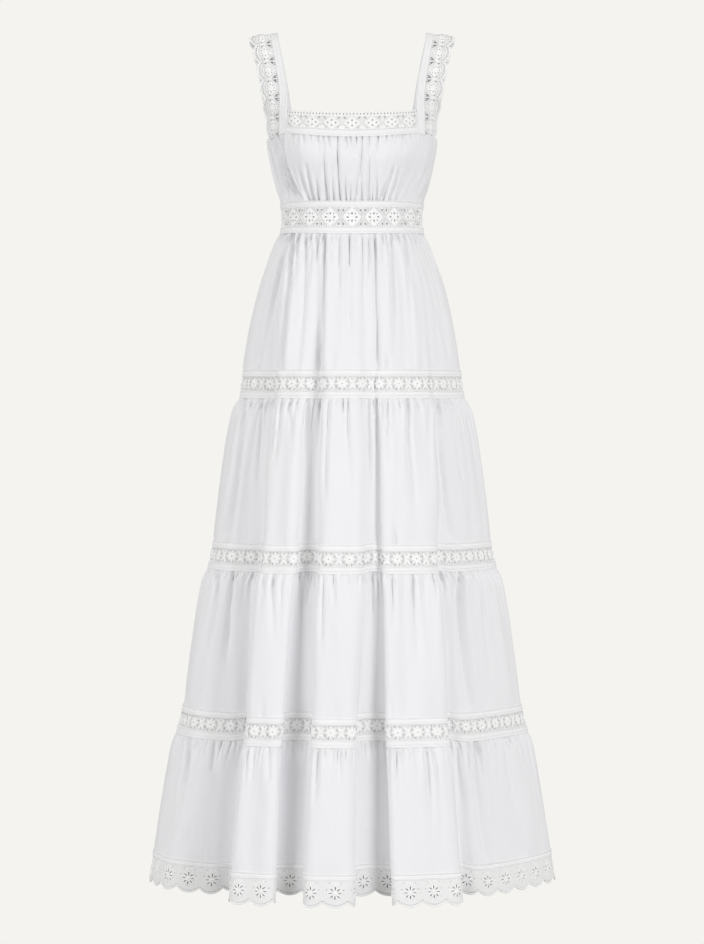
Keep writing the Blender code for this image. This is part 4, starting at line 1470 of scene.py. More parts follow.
leftSidePleats = (
    (-126, -119, -100, 0, 104, 2.4, 2.4, 3.2, 6.5),
    (-119, -111, -94, 14, 104, 2.2, 2.2, 2.4, 6.5),
    (-133, -126, -108, 6, 104, 2.4, 2.4, 2.6, 6),
    (-112, -104, -90, 0, 104, 2.2, 2.2, 3.6, 6),
    (-139, -132, -117, 0, 96, 2.6, 2.6, 2.6, 4.4),
    (-123, -117, -104, 50, 104, 2, 2, 1, 5),
)

backGathers = tuple(
    (x, x * 0.94, x * 0.86, start, end, 2.4, 3.2, deep, deep * 1.3)
    for x, start, end, deep in (
        (-88, 30, 104, 1.8),
        (-71, 0, 60, 2.4),
        (-58, 12, 104, 2.6),
        (-41, 0, 48, 2.8),
        (-27, 20, 104, 3),
        (-9, 0, 104, 2.4),
        (7, 44, 104, 2.6),
        (24, 0, 52, 3),
        (39, 16, 104, 2.8),
        (55, 0, 70, 2.4),
        (73, 26, 104, 2.2),
        (92, 40, 104, 1.6),
    )
)

bodiceGathers = {
    "pitch": 4.0,
    "gatherDepth": (1.5, 4.2),
    "gatherWidth": (0.9, 1.6),
    "gatherLength": (10, 40),
}


def cupStand(angle, z):
    fall = ((z - bodiceLook["cupZ"]) / bodiceLook["cupSpreadZ"]) ** 2
    stand = 0.0
    for side in (-1, 1):
        away = (angle - side * bodiceLook["cupAngle"]) / bodiceLook["cupSpreadAngle"]
        stand = stand + bodiceLook["cupStand"] * np.exp(-(away**2) - fall)
    return stand


def bodiceSize(angle, z):
    wrapped = (angle + 180) % 360 - 180
    return [
        smoothTable(bodiceSections, field, z) + cupStand(wrapped, z)
        for field in ("halfWidth", "front", "back")
    ]


def bodicePoint(angle, z, out=0.0):
    angle, z = np.broadcast_arrays(np.asarray(angle, float), np.asarray(z, float))
    x, y = ovalPoint(bodiceSize(angle, z), angle, out)
    return np.stack([x, y, z], -1)


def neckDip(angle, level):
    # how far the neckline hangs below its corners; level 1 is the seam under its tape
    deep = seams["neckDip"][0] * (1 - level) + seams["neckDip"][1] * level
    return deep * np.cos(np.radians(90 * np.clip(angle / bodiceLook["neckEnd"], -1, 1)))


def waistDrop(angle, level):
    # how far the waist band hangs lower in front; level 0 is its upper seam, 1 its lower one
    facing = np.maximum(0, np.cos(np.radians(angle)))
    above, below = seams["waistDrop"]
    return above * (1 - level) * facing**3 + below * level * facing**2


def bodiceTop(angle):
    away = np.abs((np.asarray(angle, float) + 180) % 360 - 180)
    end = bodiceLook["neckEnd"]
    share = np.clip((away - end) / (90 - end), 0, 1)
    level = seams["neckBottom"] + (seams["sideTop"] - seams["neckBottom"]) * share
    return level - np.where(away < end, neckDip(away, 1), 0)


def seamAngle(share):
    straight = bodiceLook["neckEnd"] + (bodiceLook["seamAtWaist"] - bodiceLook["neckEnd"]) * share
    return straight + bodiceLook["seamBow"] * np.sin(np.pi * share)


def frontEnds(share):
    edge = seamAngle(share) + math.degrees(bodiceLook["lap"] / 125)
    return -edge, edge


def sideEnds(side):
    def ends(share):
        edge = seamAngle(share)
        return (edge, 90 + 0 * share) if side > 0 else (-90 + 0 * share, -edge)

    return ends


def backEnds(share):
    return 90 + 0 * share, 270 + 0 * share


def leaningSteps(x, share):
    # folds that hang one behind another: each rises slowly and falls back at once
    leaning = x - bodiceLook["stepLean"] * share
    pitch, depth = bodiceLook["steps"]
    step = (-leaning - 2.0 * np.sin(leaning / 7)) / pitch % 1
    saw = np.where(step < 0.8, step / 0.8, (1 - step) / 0.2)
    return depth * saw * softStep(share, -0.05, 0.12) * (1 - 0.95 * softStep(share, 0.88, 0.98))


def bodicePanel(name, ends, pleats, gathers, seed, lap=0.0):
    # one panel between its seams: pleats, gathers at both seams, and soft waves
    look = bodiceLook
    tall = look["height"]
    spare = look["hidden"] / tall
    share = np.linspace(-spare, 1 + spare, int(tall / look["rowStep"]) + 1)[:, None]
    low, high = ends(np.clip(share, 0, 1))
    wide = math.radians(float(np.mean(high - low))) * look["radius"]
    across = np.linspace(0, 1, int(wide / look["backStep" if "Back" in name else "columnStep"]))
    angle = low + (high - low) * across
    top = bodiceTop(angle[0])
    bottom = seams["waistTop"] - waistDrop(angle[-1], 0)
    points = bodicePoint(angle, top + (bottom - top) * share)
    x, down, turn = points[..., 0], share * tall + 0 * angle, np.radians(angle)
    random = np.random.default_rng(seed)
    lift = np.zeros_like(angle)
    for row in pleats:
        lift += pleatLift(Pleat(*row), x, down, tall)
    depths = tuple(depth * gathers for depth in bodiceGathers["gatherDepth"])
    fine = {**bodiceGathers, "gatherDepth": depths}
    reach = (math.radians(float(low.min())), math.radians(float(high.max())))
    girth = look["radius"] * 2 * math.pi
    for fromSeam in (down, tall - down):
        lift += smallGathers(turn, np.maximum(fromSeam, 0), girth, fine, random, reach)
    for turns, height in ((9, 0.5), (15, 0.45), (24, 0.35)):
        phase = random.uniform(0, 6.28, 2)
        lift += height * np.sin(turns * turn + phase[0]) * np.sin(np.pi * share + 0.3 * phase[1])
    fromEdge = np.minimum(across, 1 - across) * wide + 0 * share
    lift = lift * softStep(fromEdge, 0, 9)
    if "Side" in name:  # held by the seam with the waist tape
        lift *= 1 - 0.9 * softStep(share, 0.9, 0.99)
    if lap:
        stitched = 0.3 * np.exp(-(((fromEdge - 3.4) / 0.8) ** 2))
        lift += lap * (1 - softStep(fromEdge, 0, 7)) - stitched
    if "Left" in name:
        lift -= leaningSteps(x, share) * softStep(fromEdge, 0, 5)
    flat = points.reshape(-1, 3)
    faces = [gridFaces(*angle.shape)]
    flat = flat + pointNormals(flat, faces) * lift.reshape(-1, 1)
    uvs = np.stack([across * wide + 0 * share, down], -1).reshape(-1, 2)
    bag = newBag()
    thick = look["thickness"] / 2
    addShell(bag, flat, faces, uvs, thick, -thick)
    return makeObject(name, bag, bodiceCotton)


# name, node, edges, pleats, depth of the small gathers, lap over its neighbours, flat size
bodicePanels = (
    ("bodiceFront", "bodice_front", frontEnds, frontPleats, 1, bodiceLook["lapLift"], (270, 110)),
    ("bodiceSideRight", "bodice_side_right", sideEnds(1), sidePleats, 0.35, 0, (100, 108)),
    ("bodiceSideLeft", "bodice_side_left", sideEnds(-1), leftSidePleats, 0.6, 0, (120, 108)),
    ("bodiceBack", "bodice_back", backEnds, backGathers, 0.9, 0, (420, 106)),
)


def bodiceStrip(angles, topAt, bottomAt, heights, out, closed=False):
    heights = np.asarray(heights, float)
    top, bottom = topAt(angles), bottomAt(angles)
    grid = [bodicePoint(angles, top + (bottom - top) * h / heights[-1], out) for h in heights]
    return makeStrip(grid, heights, closed)


# ---- the neckline

neckLook = {
    "height": 40.0,
    "picotPitch": 5.8,
    "bar": (4.6, 2.2, 1.0),  # under each picot: length, width, height
    "knot": (1.7, 1.3),
    "rail": (2.9, 1.3, 0.9),
    "tuckedUnder": 2.0,
    "cells": 7,
    "rosette": (27.5, 20.0),
    "eyelets": ((-6.8, 0), (6.8, 0), (0, -4.2), (0, 4.2)),
    "eyelet": (3.3, 3.1),
    "smallHole": (2.2, 2.2),
    "wedge": (4.6, 2.6, 3.4),  # where the upper holes between rosettes stand, half width, depth
    "fan": (-56, -28, 0, 28, 56),  # degrees of the leaves between two rosettes
    "leaf": (8.0, 3.2),
    "fringePitch": 2.9,
    "fringeLeaf": (3.4, 2.4),
    "tapeEnd": 40.6,
    "tapeThick": 1.4,
}


def neckPicot(strip, length, picot):
    # a rail with knots on short bars, joined by thin arcs
    look = neckLook
    bag = newBag()
    longCord(bag, strip, lambda s: picot - 1.0 + 0 * s, 1.9, 1.2, -0.4)
    places = evenly(length, look["picotPitch"])
    between = (places[:-1] + places[1:]) / 2
    tall, wide, rise = look["bar"]
    addMotif(bag, strip, cord([(0, 0), (0, -tall)], wide, rise), places, 2.2, -0.4)
    addMotif(bag, strip, button(*look["knot"]), places, 1.6, -0.3)
    reach, wide, rise = look["rail"]
    arc = cord([(-reach, 0), (0, 0.7), (reach, 0)], wide, rise)
    addMotif(bag, strip, arc, between, 1.9, -0.4)
    edge = makeObject("neckPicotEdge", bag, thread)
    openings = ovals([(0.0, 0.0)], 2.8, 3.8, 5)
    dark = makeShade("neckPicotShade", paleShade, strip, openings, between, 4.4, 0.5)
    flat = (length, picot + look["tuckedUnder"])
    declare(edge, "neck_picot_edge", flat, ["neck_lace"], [dark])


def neckHoles(pitch, lace, eyelets):
    # one cell's holes: the rosette's eyelets, then wedges and small holes round it
    look = neckLook
    away, half, deep = look["wedge"]
    holes = [hole + (pitch / 2, lace / 2 + 0.5) for hole in eyelets]
    for x in (away, pitch - away):
        holes.append(np.array([(x - half, 1.4), (x, 1.4 + deep), (x + half, 1.4)]))
        holes += ovals([(x - 1.4, lace - 5.0)], 2.2, 2.6)
    corners = [(pitch / 2 + x, h) for x in (-10.4, 10.4) for h in (4.6, lace - 3.6)]
    return holes + ovals(corners, *look["smallHole"])


def neckLace(strip, length, picot, lace):
    look = neckLook
    cells = look["cells"]
    pitch = length / cells
    eyelets = ovals(look["eyelets"], *look["eyelet"])
    holes = neckHoles(pitch, lace, eyelets)
    names, looks = ("neckNet", "neckShade"), (edgingNet, paleShade)
    ground, dark = makeGround(names, looks, strip, cells, lace + 1, picot - 0.6, holes)
    starts = np.arange(cells) * pitch
    bag = newBag()
    rosette = diamondRosette(*look["rosette"], eyelets)
    addMotif(bag, strip, rosette, starts + pitch / 2, picot - 0.1 + lace / 2, 0.3)
    fan = joined(*[petal(*look["leaf"], 1.0, 0.4, turn, 4) for turn in np.radians(look["fan"])])
    addMotif(bag, strip, fan, starts[1:], picot + lace - 0.6, 0.3)
    addMotif(bag, strip, button(*look["knot"]), starts[1:], picot + 6.5, 0.3)
    fringe = petal(*look["fringeLeaf"], 0.8, 0, 0, 3)
    addMotif(bag, strip, fringe, evenly(length, look["fringePitch"]), picot + lace, 0.2)
    flowers = makeObject("neckFlowers", bag, thread)
    declare(ground, "neck_lace", (length, lace), ["neck_tape"], [flowers, dark])


def makeNeckline():
    end = bodiceLook["neckEnd"] - 0.2
    strip = bodiceStrip(
        np.linspace(-end, end, 75),
        lambda a: seams["neckTop"] - neckDip(a, 0),
        lambda a: seams["neckBottom"] - neckDip(a, 1),
        np.linspace(0, neckLook["height"], 9),
        0.4,
    )
    length, picot, lace = strip["length"], seams["picot"], seams["neckLace"]
    neckPicot(strip, length, picot)
    neckLace(strip, length, picot, lace)
    ends = (picot + lace - 0.4, neckLook["tapeEnd"])
    thick = neckLook["tapeThick"]
    makeTape("neckTape", "neck_tape", strip, ends, ["bodice_front"], thick, 3.4, 0.3, 5)


casingLook = {
    "height": 41.5,
    "across": (0, 0.03, 0.09, 0.16, 0.3, 0.5, 0.7, 0.84, 0.91, 0.97, 1),
    "columnStep": 1.9,
    "puckerPitch": 6.2,
    "puckerDepth": (0.25, 0.9),
    "stitchLines": (0.09, 0.91),
    "fullness": 1.08,
}


def makeBackCasing():
    # a plain band, a little puckered, between the straps' feet
    look = casingLook
    tall = look["height"]
    foot = strapLook["backFoot"][0]
    strip = bodiceStrip(
        np.linspace(foot, 360 - foot, 110),
        lambda a: seams["backBandTop"] + 0 * a,
        lambda a: seams["sideTop"] - 1.5 + 0 * a,
        np.linspace(0, tall, 9),
        0.4,
    )
    random = np.random.default_rng(71)
    across = np.array(look["across"])
    count = int(strip["length"] / look["columnStep"])
    s, h = np.meshgrid(np.linspace(0, strip["length"], count + 1), across * tall)
    lift = 0.6 + 0.5 * np.sin(np.pi * across)[:, None] ** 0.5 + 0 * s
    for place in np.arange(4, strip["length"] - 3, look["puckerPitch"]):
        at = place + random.uniform(-2, 2)
        deep = random.uniform(*look["puckerDepth"])
        lift -= deep * np.exp(-(((s - at - random.uniform(-0.06, 0.06) * h) / 1.7) ** 2))
    for line in look["stitchLines"]:
        lift -= 0.35 * np.exp(-(((h / tall - line) / 0.025) ** 2))
    points = onStrip(strip, s, h, lift).reshape(-1, 3)
    bag = newBag()
    uvs = np.stack([s, h], -1).reshape(-1, 2)
    addShell(bag, points, [gridFaces(*s.shape)], uvs, 0.35, -0.9)
    casing = makeObject("neckBandBack", bag, cotton)
    flat = (strip["length"] * look["fullness"], tall)
    above, cloth = ["bodice_back"], "white_cotton"
    declare(casing, "neck_band_back", flat, above, slot=cloth)


# ---- the straps

strapLook = {
    "frontFoot": (48.5, 57.5, 77.0),  # angles of the three lines on the bodice
    "backFoot": (136.2, 128.5, 106.0),
    "flare": 5.0,  # the lace stands off the body at the neckline
    "bow": 1.6,  # and rounds out between its edges
    "tape": 14.0,
    "lace": 31.0,
    "rosettes": 12,
    "rosette": (25.0, 21.0),
    "scallop": 7.0,
    "eyelets": 8,
    "eyelet": 2.1,
    "eyeletReach": 6.4,
    "middle": 14.0,  # how far down the lace the rosettes' middles lie
    "slotPitch": 3.4,
    "slot": (1.6, 2.4),
    "sprig": (6.5, 11.0, 3.2),
    "edgeCords": ((2.2, 1.3, 1.2), (1.5, 1.0, 7.2)),  # width, height, distance from the edge
    "stitchPitch": 3.4,
    "stitch": (3.4, 2.0, 0.9),
    "knot": (1.15, 1.0),
}

# the strap over the shoulder: height, then x and y of its inner edge, its seam and its outer
# edge, and how far the outer edge hangs lower
strapRows = (
    (-116, 109.5, -62, 122, -55, 151, -36, 0),
    (-88, 111.5, -53, 124.5, -47, 154.5, -32, 1),
    (-58, 116.5, -41, 129, -37, 160, -25, 2),
    (-29, 121.5, -26.5, 134.3, -24.5, 166, -17, 4),
    (-8, 125, -11, 137.5, -10.5, 171, -8, 6),
    (0, 125.8, 4, 138.3, 4, 172.5, 4, 6),
    (-8, 125, 19, 137.5, 18.5, 171, 16, 6),
    (-29, 120.5, 34, 133, 32, 166, 26, 4),
    (-58, 114.5, 47, 127, 44, 159.5, 34, 2),
    (-88, 109, 57.5, 121.5, 53, 154, 40, 1),
    (-116, 105, 65, 117.5, 59.5, 150, 43, 0),
)


def footRows(angles, low):
    rows = []
    for share in (0, 0.5, 1):
        z = low + (seams["neckTop"] - low) * share
        outs = (0, 0, strapLook["flare"] * share)
        rows.append([bodicePoint(angle, z, out) for angle, out in zip(angles, outs)])
    return np.array(rows)


def strapLines(count):
    # points of the tape's inner edge, the seam and the lace's edge, from front to back
    front = footRows(strapLook["frontFoot"], seams["neckBottom"])
    front[0, 1:, 2] = bodiceTop(strapLook["frontFoot"][1:])
    back = footRows(strapLook["backFoot"], seams["sideTop"])
    over = []
    for z, xInner, yInner, xSeam, ySeam, xOuter, yOuter, drop in strapRows:
        seam, outer = (xSeam, ySeam, z - drop / 4), (xOuter, yOuter, z - drop)
        over.append([(xInner, yInner, z), seam, outer])
    lines = np.concatenate([front, over, back[::-1]])
    run = runAlong(lines[:, 1])
    k, t = stepOf(run, np.linspace(0, run[-1], count + 1))
    t = t[..., None]
    last = len(lines) - 1
    p0, p1, p2, p3 = (lines[np.clip(k + step, 0, last)] for step in (-1, 0, 1, 2))
    bend = (2 * p0 - 5 * p1 + 4 * p2 - p3) * t * t + (3 * p1 - p0 - 3 * p2 + p3) * t**3
    return (2 * p1 + (p2 - p0) * t + bend) / 2


def strapEdge(s, length):
    # height of the scalloped edge
    wave = np.abs(np.sin(np.pi * s * strapLook["rosettes"] / length)) ** 0.8
    return strapLook["lace"] + strapLook["scallop"] * (wave - 0.62)


def strapStrips(side):
    # the tape's strip and the lace's strip, side by side from foot to foot
    lines = strapLines(150)
    lines[:, :, 0] *= side
    if side < 0:
        lines = lines[::-1]
    inner, seam, outer = lines[:, 0], lines[:, 1], lines[:, 2]
    out = np.cross(outer - seam, np.gradient(seam, axis=0))
    out /= np.linalg.norm(out, axis=1)[:, None]
    strips = []
    for near, far, bow, wide in (
        (inner, seam, 0.3, strapLook["tape"]),
        (seam, outer, strapLook["bow"], strapLook["lace"]),
    ):
        strips.append(makeStrip([near, (near + far) / 2 + out * bow, far], (0, wide / 2, wide)))
    return strips


def strapHoles(pitch, length, eyelets):
    # one cell's holes: eyelets, wedges beside the tape, drops between rosettes, slots at the edge
    look = strapLook
    holes = [hole * (1, -1) + (pitch / 2, look["middle"]) for hole in eyelets]
    for x, way in ((1.4, 1), (pitch - 1.4, -1)):
        holes.append(np.array([(x, 1.0), (x + way * 8.4, 1.0), (x, 9.6)]))
        holes += ovals([(x + way * 2.6, 17.0), (x + way * 1.6, 22.0)], 2.4, 3.2)
    slots = np.arange(2.4, pitch - 1.2, look["slotPitch"])
    return holes + ovals([(x, float(strapEdge(x, length)) - 4.6) for x in slots], *look["slot"])


def strapFlowers(name, strip, length, pitch, eyelets):
    look = strapLook
    starts = np.arange(look["rosettes"]) * pitch
    bag = newBag()
    rosette = diamondRosette(*look["rosette"], eyelets)
    addMotif(bag, strip, rosette, starts + pitch / 2, look["middle"] - 0.4, 0.3)
    addMotif(bag, strip, crossSprig(*look["sprig"]), starts[1:], 14.5, 0.4)
    for wide, rise, inset in look["edgeCords"]:
        longCord(bag, strip, lambda s: strapEdge(s, length) - inset, wide, rise, -0.3, 2.2)
    stitches = evenly(length, look["stitchPitch"])
    buttonhole = petal(*look["stitch"], 0, 0.42, 3)
    knot = button(*look["knot"], count=6)
    for motif, below, base in ((buttonhole, -0.6, 0.1), (knot, 0.2, -0.3)):
        for s in stitches:
            addMotif(bag, strip, motif, [s], float(strapEdge(s, length)) + below, base)
    addMotif(bag, strip, petal(3.4, 2.6, 0.8, 0, math.pi, 3), stitches, 0.2, 0.2)
    return makeObject(name, bag, thread)


def makeStrap(label, side):
    look = strapLook
    node = label.lower()
    tapeStrip, laceStrip = strapStrips(side)
    tapeNode, feet = f"strap_tape_{node}", ["bodice_front", "bodice_back"]
    ends = (0, look["tape"])
    makeTape(f"strapTape{label}", tapeNode, tapeStrip, ends, feet, 1.3, 3.0, 0.2, 11)

    length, count = laceStrip["length"], look["rosettes"]
    pitch = length / count
    reach = look["eyeletReach"]
    places = [(reach * math.sin(t), reach * math.cos(t)) for t in allRound(look["eyelets"])]
    eyelets = ovals(places, look["eyelet"], look["eyelet"])
    holes = strapHoles(pitch, length, eyelets)
    names, looks = (f"strapNet{label}", f"strapShade{label}"), (edgingNet, midShade)
    wide = look["lace"]
    ground, dark = makeGround(
        names, looks, laceStrip, count, wide, -0.4, holes, lambda x: strapEdge(x, length) - 0.8
    )
    flowers = strapFlowers(f"strapFlowers{label}", laceStrip, length, pitch, eyelets)
    laceNode, extras = f"strap_lace_{node}", [flowers, dark]
    declare(ground, laceNode, (length, wide), [tapeNode], extras)


# ---- the waist band

waistLook = {
    "height": 50.0,
    "tapeThick": 1.5,
    "rosettes": 18,
    "rosette": (31.0, 28.5),
    # groups of eyelets in a rosette: where, how wide, how tall
    "eyelets": (
        (((-7.4, 0), (7.4, 0)), 4.4, 2.3),
        (((0, -5.8), (0, 5.8)), 2.3, 4.2),
        (((-5.6, 5.4), (5.6, 5.4), (-5.6, -5.4), (5.6, -5.4)), 2.1, 2.1),
    ),
    "link": (7.0, 2.2, 2.6),  # crossed cords between rosettes: reach, then a point near the middle
    "linkCord": (1.3, 1.0),
    "knot": (1.8, 1.3),
    "fringePitch": 3.0,
    "fringeLeaf": (3.6, 2.4, 0.8),
}


def waistHoles(pitch, tall, eyelets):
    # one cell's holes: the eyelets, four round ones at its sides, slots along both edges
    holes = [hole + (pitch / 2, tall / 2) for hole in eyelets]
    for x in (4.2, pitch - 4.2):
        holes += ovals([(x, 5.2), (x, tall - 5.2)], 3.4, 3.0)
    above = [(x, 1.9) for x in (9.6, 14.6, pitch - 14.6, pitch - 9.6)]
    below = [(x, tall - 1.9) for x in (10.6, pitch - 10.6)]
    return holes + ovals(above, 2.6, 1.3) + ovals(below, 2.6, 1.2)


def waistFlowers(strip, places, pitch, eyelets, edge, openHeight):
    look = waistLook
    middle = look["height"] / 2
    bag = newBag()
    addMotif(bag, strip, diamondRosette(*look["rosette"], eyelets), places, middle, 0.3)
    wide, x, y = look["link"]
    for way in (-1, 1):
        end, near = (-wide * way, openHeight / 2 - 1.5), (-x * way, y)
        far = [(-across, -up) for across, up in (near, end)]
        link = cord([end, near, (0, 0), *far], *look["linkCord"])
        addMotif(bag, strip, link, places + pitch / 2, middle, 0.2)
    addMotif(bag, strip, button(*look["knot"]), places + pitch / 2, middle, 0.4)
    fringe = evenly(strip["length"], look["fringePitch"])
    for turn, h in ((0, look["height"] - edge + 0.5), (math.pi, edge - 0.5)):
        addMotif(bag, strip, petal(*look["fringeLeaf"], 0, turn, 3), fringe, h, 0.2)
    return makeObject("waistFlowers", bag, thread)


def makeWaist():
    look = waistLook
    tall = look["height"]
    strip = bodiceStrip(
        np.linspace(-180, 180, 160, endpoint=False),
        lambda a: seams["waistTop"] - waistDrop(a, 0),
        lambda a: seams["waistBottom"] - waistDrop(a, 1),
        np.linspace(0, tall, 6),
        0.5,
        closed=True,
    )
    length, edge, thick = strip["length"], seams["waistTape"], look["tapeThick"]
    for label, ends, hangsFrom, seed in (
        ("Upper", (-0.8, edge), "bodice_front", 21),
        ("Lower", (tall - edge, tall + 1), "waist_lace", 22),
    ):
        own = (f"waistTape{label}", f"waist_{label.lower()}_tape")
        makeTape(*own, strip, ends, [hangsFrom], thick, 3.6, 0.35, seed)
    openHeight = tall - 2 * edge
    count = look["rosettes"]
    pitch = length / count
    eyelets = [hole for group in look["eyelets"] for hole in ovals(*group)]
    holes = waistHoles(pitch, openHeight + 2, eyelets)
    names, looks = ("waistNet", "waistShade"), (net, midShade)
    ground, dark = makeGround(
        names, looks, strip, count, openHeight + 2, edge - 1, holes, first=-pitch / 2
    )
    places = np.arange(count) * pitch
    flowers = waistFlowers(strip, places, pitch, eyelets, edge, openHeight)
    declare(ground, "waist_lace", (length, openHeight), ["waist_upper_tape"], [flowers, dark])


# ---- the insertions between the tiers

insertionLook = {
    "tapeThick": 1.5,
    "pitch": 34.0,
    "daisyRadius": 9.8,
    "petals": 8,
    "ring": (10.8, 1.9),  # holes round the daisy: how far out, and how wide
    "gaps": ((2.2, 6.4), (7.0, 3.6), (5.8, 21.6), (1.8, 13.2)),
    "gap": (1.8, 1.6),
    "sprig": (12.0, 21.0, 4.4),
    "seeds": 8,  # stray knots in the ground of each cell
    "seed": (1.1, 0.9),
    "strewn": (9.5, 0.44),  # how far along, and as a share of the height
    "fringePitch": 4.2,
    "fringeLeaf": (3.2, 2.8, 0.8),
    "lift": 0.3,
}


def insertionHoles(pitch, high):
    # one cell's holes: the daisy's eye, a ring round it, and gaps towards the next one
    look = insertionLook
    middle = (pitch / 2, high / 2)
    away, wide = look["ring"]
    turns = allRound(look["petals"], 0.5)
    ring = [(middle[0] + away * math.sin(t), middle[1] - away * math.cos(t)) for t in turns]
    holes = [oval(1.8, 1.8, middle, 6)]
    holes += ovals([place for place in ring if 2.4 < place[1] < high - 2.2], wide, wide, 5)
    for x, h in look["gaps"]:
        side = pitch - 1.1 * x if h < high / 2 else x
        pair = [(x, h * high / 27), (pitch - 0.8 * side, (25.6 - h) * high / 27)]
        holes += ovals(pair, *look["gap"], 5)
    return holes


def insertionFlowers(number, strip, places, pitch, upper, openHeight):
    look = insertionLook
    middle = upper + openHeight / 2
    bag = newBag()
    daisies = daisy(look["daisyRadius"], look["petals"])
    addMotif(bag, strip, daisies, places, middle, look["lift"])
    addMotif(bag, strip, crossSprig(*look["sprig"]), places + pitch / 2, middle, look["lift"])
    random = np.random.default_rng(90 + number)
    knot = button(*look["seed"], count=5)
    along, up = look["strewn"]
    for _ in range(look["seeds"]):
        sPlaces = places + pitch / 2 + random.uniform(-along, along, len(places))
        hPlaces = middle + random.uniform(-up, up, len(places)) * openHeight
        for s, h in zip(sPlaces, hPlaces):
            addMotif(bag, strip, knot, [s], h, 0.1)
    fringe = evenly(strip["length"], look["fringePitch"])
    leaf = petal(*look["fringeLeaf"], 0, 0, 2)
    addMotif(bag, strip, leaf, fringe, upper + openHeight + 0.5, 0.2)
    return makeObject(f"insertion{number + 1}Flowers", bag, thread)


def makeInsertion(number):
    look = insertionLook
    top, tall = seams["bandTops"][number], seams["bandHeight"]
    upper, lower = seams["bandTape"]
    strip = ringStrip(top, top - tall, bandSections[number])
    length = strip["length"]
    name, node = f"insertion{number + 1}", f"insertion_{number + 1}"
    for label, ends, hangsFrom, seed in (
        ("Upper", (-0.5, upper), f"tier_{number + 1}_front", number * 2),
        ("Lower", (tall - lower + 1, tall + 1), f"{node}_lace", number * 2 + 1),
    ):
        own = (f"{name}Tape{label}", f"{node}_{label.lower()}_tape")
        makeTape(*own, strip, ends, [hangsFrom], look["tapeThick"], 4.4, 0.45, seed)
    openHeight = tall + 1 - upper - lower
    count = int(round(length / look["pitch"]))
    pitch = length / count
    holes = insertionHoles(pitch, openHeight + 2)
    names, looks = (f"{name}Net", f"{name}Shade"), (net, paleShade)
    ground, dark = makeGround(names, looks, strip, count, openHeight + 2, upper - 1, holes)
    places = (np.arange(count) + 0.5) * pitch
    flowers = insertionFlowers(number, strip, places, pitch, upper, openHeight)
    flat, above = (length, openHeight), [f"{node}_upper_tape"]
    declare(ground, f"{node}_lace", flat, above, [flowers, dark])


# ---- the hem: tape and an edging with eyelets, one scallop to a cell

hemLook = {
    "tape": 9.5,
    "tapeThick": 1.5,
    "drop": 8.9,  # the edging starts so far down, a little under the tape
    "cell": 40.0,
    "scallop": 9.0,
    "picot": 0.55,  # how far the small bumps of the edge stand out
    "bumps": 12,  # of them to a scallop
    "thickness": 0.8,
    "grid": 4.8,
    "flowerAt": 20.0,
    "petals": 8,
    "petalReach": 7.6,
    "petalLength": 6.8,
    "petalWidth": 2.5,
    "eyelet": 1.8,
    "eyeletRise": 3.8,
    "eyelets": 11,
    "corners": ((13.8, 14.5), (9.5, 4.6)),  # single eyelets: from the middle, and how far down
    "rim": (1.6, 1.3),  # the almonds' rims, as shares of their width and height
    "dome": (2.4, 1.3),
    "fan": (-34, -17, 0, 17, 34),
    "fanLeaf": (5.4, 2.6, 0.8, 13.2),
    "edgeCord": (2.0, 0.9, 1.5),
}


def hemEdge(x, tall):
    turn = np.pi * x / hemLook["cell"]
    bump = hemLook["picot"] * (np.abs(np.sin(turn * hemLook["bumps"])) - 0.5)
    return tall - hemLook["scallop"] * (1 - np.abs(np.sin(turn)) ** 0.75) + bump


def hemHoles(tall):
    # outlines of one cell's holes: a flower of almonds, and small eyelets round it
    look = hemLook
    wide, reach = look["cell"], look["petalReach"]
    almonds = []
    for turn in allRound(look["petals"]):
        centre = (wide / 2 + reach * math.sin(turn), look["flowerAt"] - reach * math.cos(turn))
        shape = oval(look["petalWidth"], look["petalLength"], (0, 0), 8, math.pi - turn)
        almonds.append(shape + centre)
    rounds = []
    for x in evenly(wide, wide / look["eyelets"]):
        smooth = tall - look["scallop"] * (1 - math.sin(math.pi * x / wide) ** 0.75)
        rounds.append((x, smooth - look["eyeletRise"]))
    for away, h in look["corners"]:
        rounds += [(wide / 2 - away, h), (wide / 2 + away, h)]
    return almonds, ovals(rounds, look["eyelet"], look["eyelet"], 5)


def hemPlate(strip, tall, cells):
    # all cells as one closed sheet: each shares its right edge with the next one's left
    wide, counts = hemLook["cell"], (9, 9, hemLook["bumps"] * 3 + 1)
    almonds, rounds = hemHoles(tall)
    flat, triangles = cutCell(
        wide, tall, almonds + rounds, counts, hemLook["grid"], lambda x: hemEdge(x, tall), 1.7
    )
    left = np.where(np.abs(flat[:, 0]) < 1e-6)[0]
    right = np.where(np.abs(flat[:, 0] - wide) < 1e-6)[0]
    left = left[np.argsort(flat[left, 1])]
    right = right[np.argsort(flat[right, 1])]
    own = np.setdiff1d(np.arange(len(flat)), right)
    place = np.full(len(flat), -1)
    place[own] = np.arange(len(own))
    points, faces = [], []
    for k in range(cells):
        number = place + k * len(own)
        number[right] = place[left] + (k + 1) % cells * len(own)
        faces.append(number[triangles])
        points.append(flat[own] + (k * wide, 0))
    scale = strip["length"] / (cells * wide)
    spots = np.concatenate(points) * (scale, 1)
    placed = onStrip(strip, spots[:, 0], spots[:, 1] + hemLook["drop"], 0)
    return placed, [np.concatenate(faces)], spots, scale


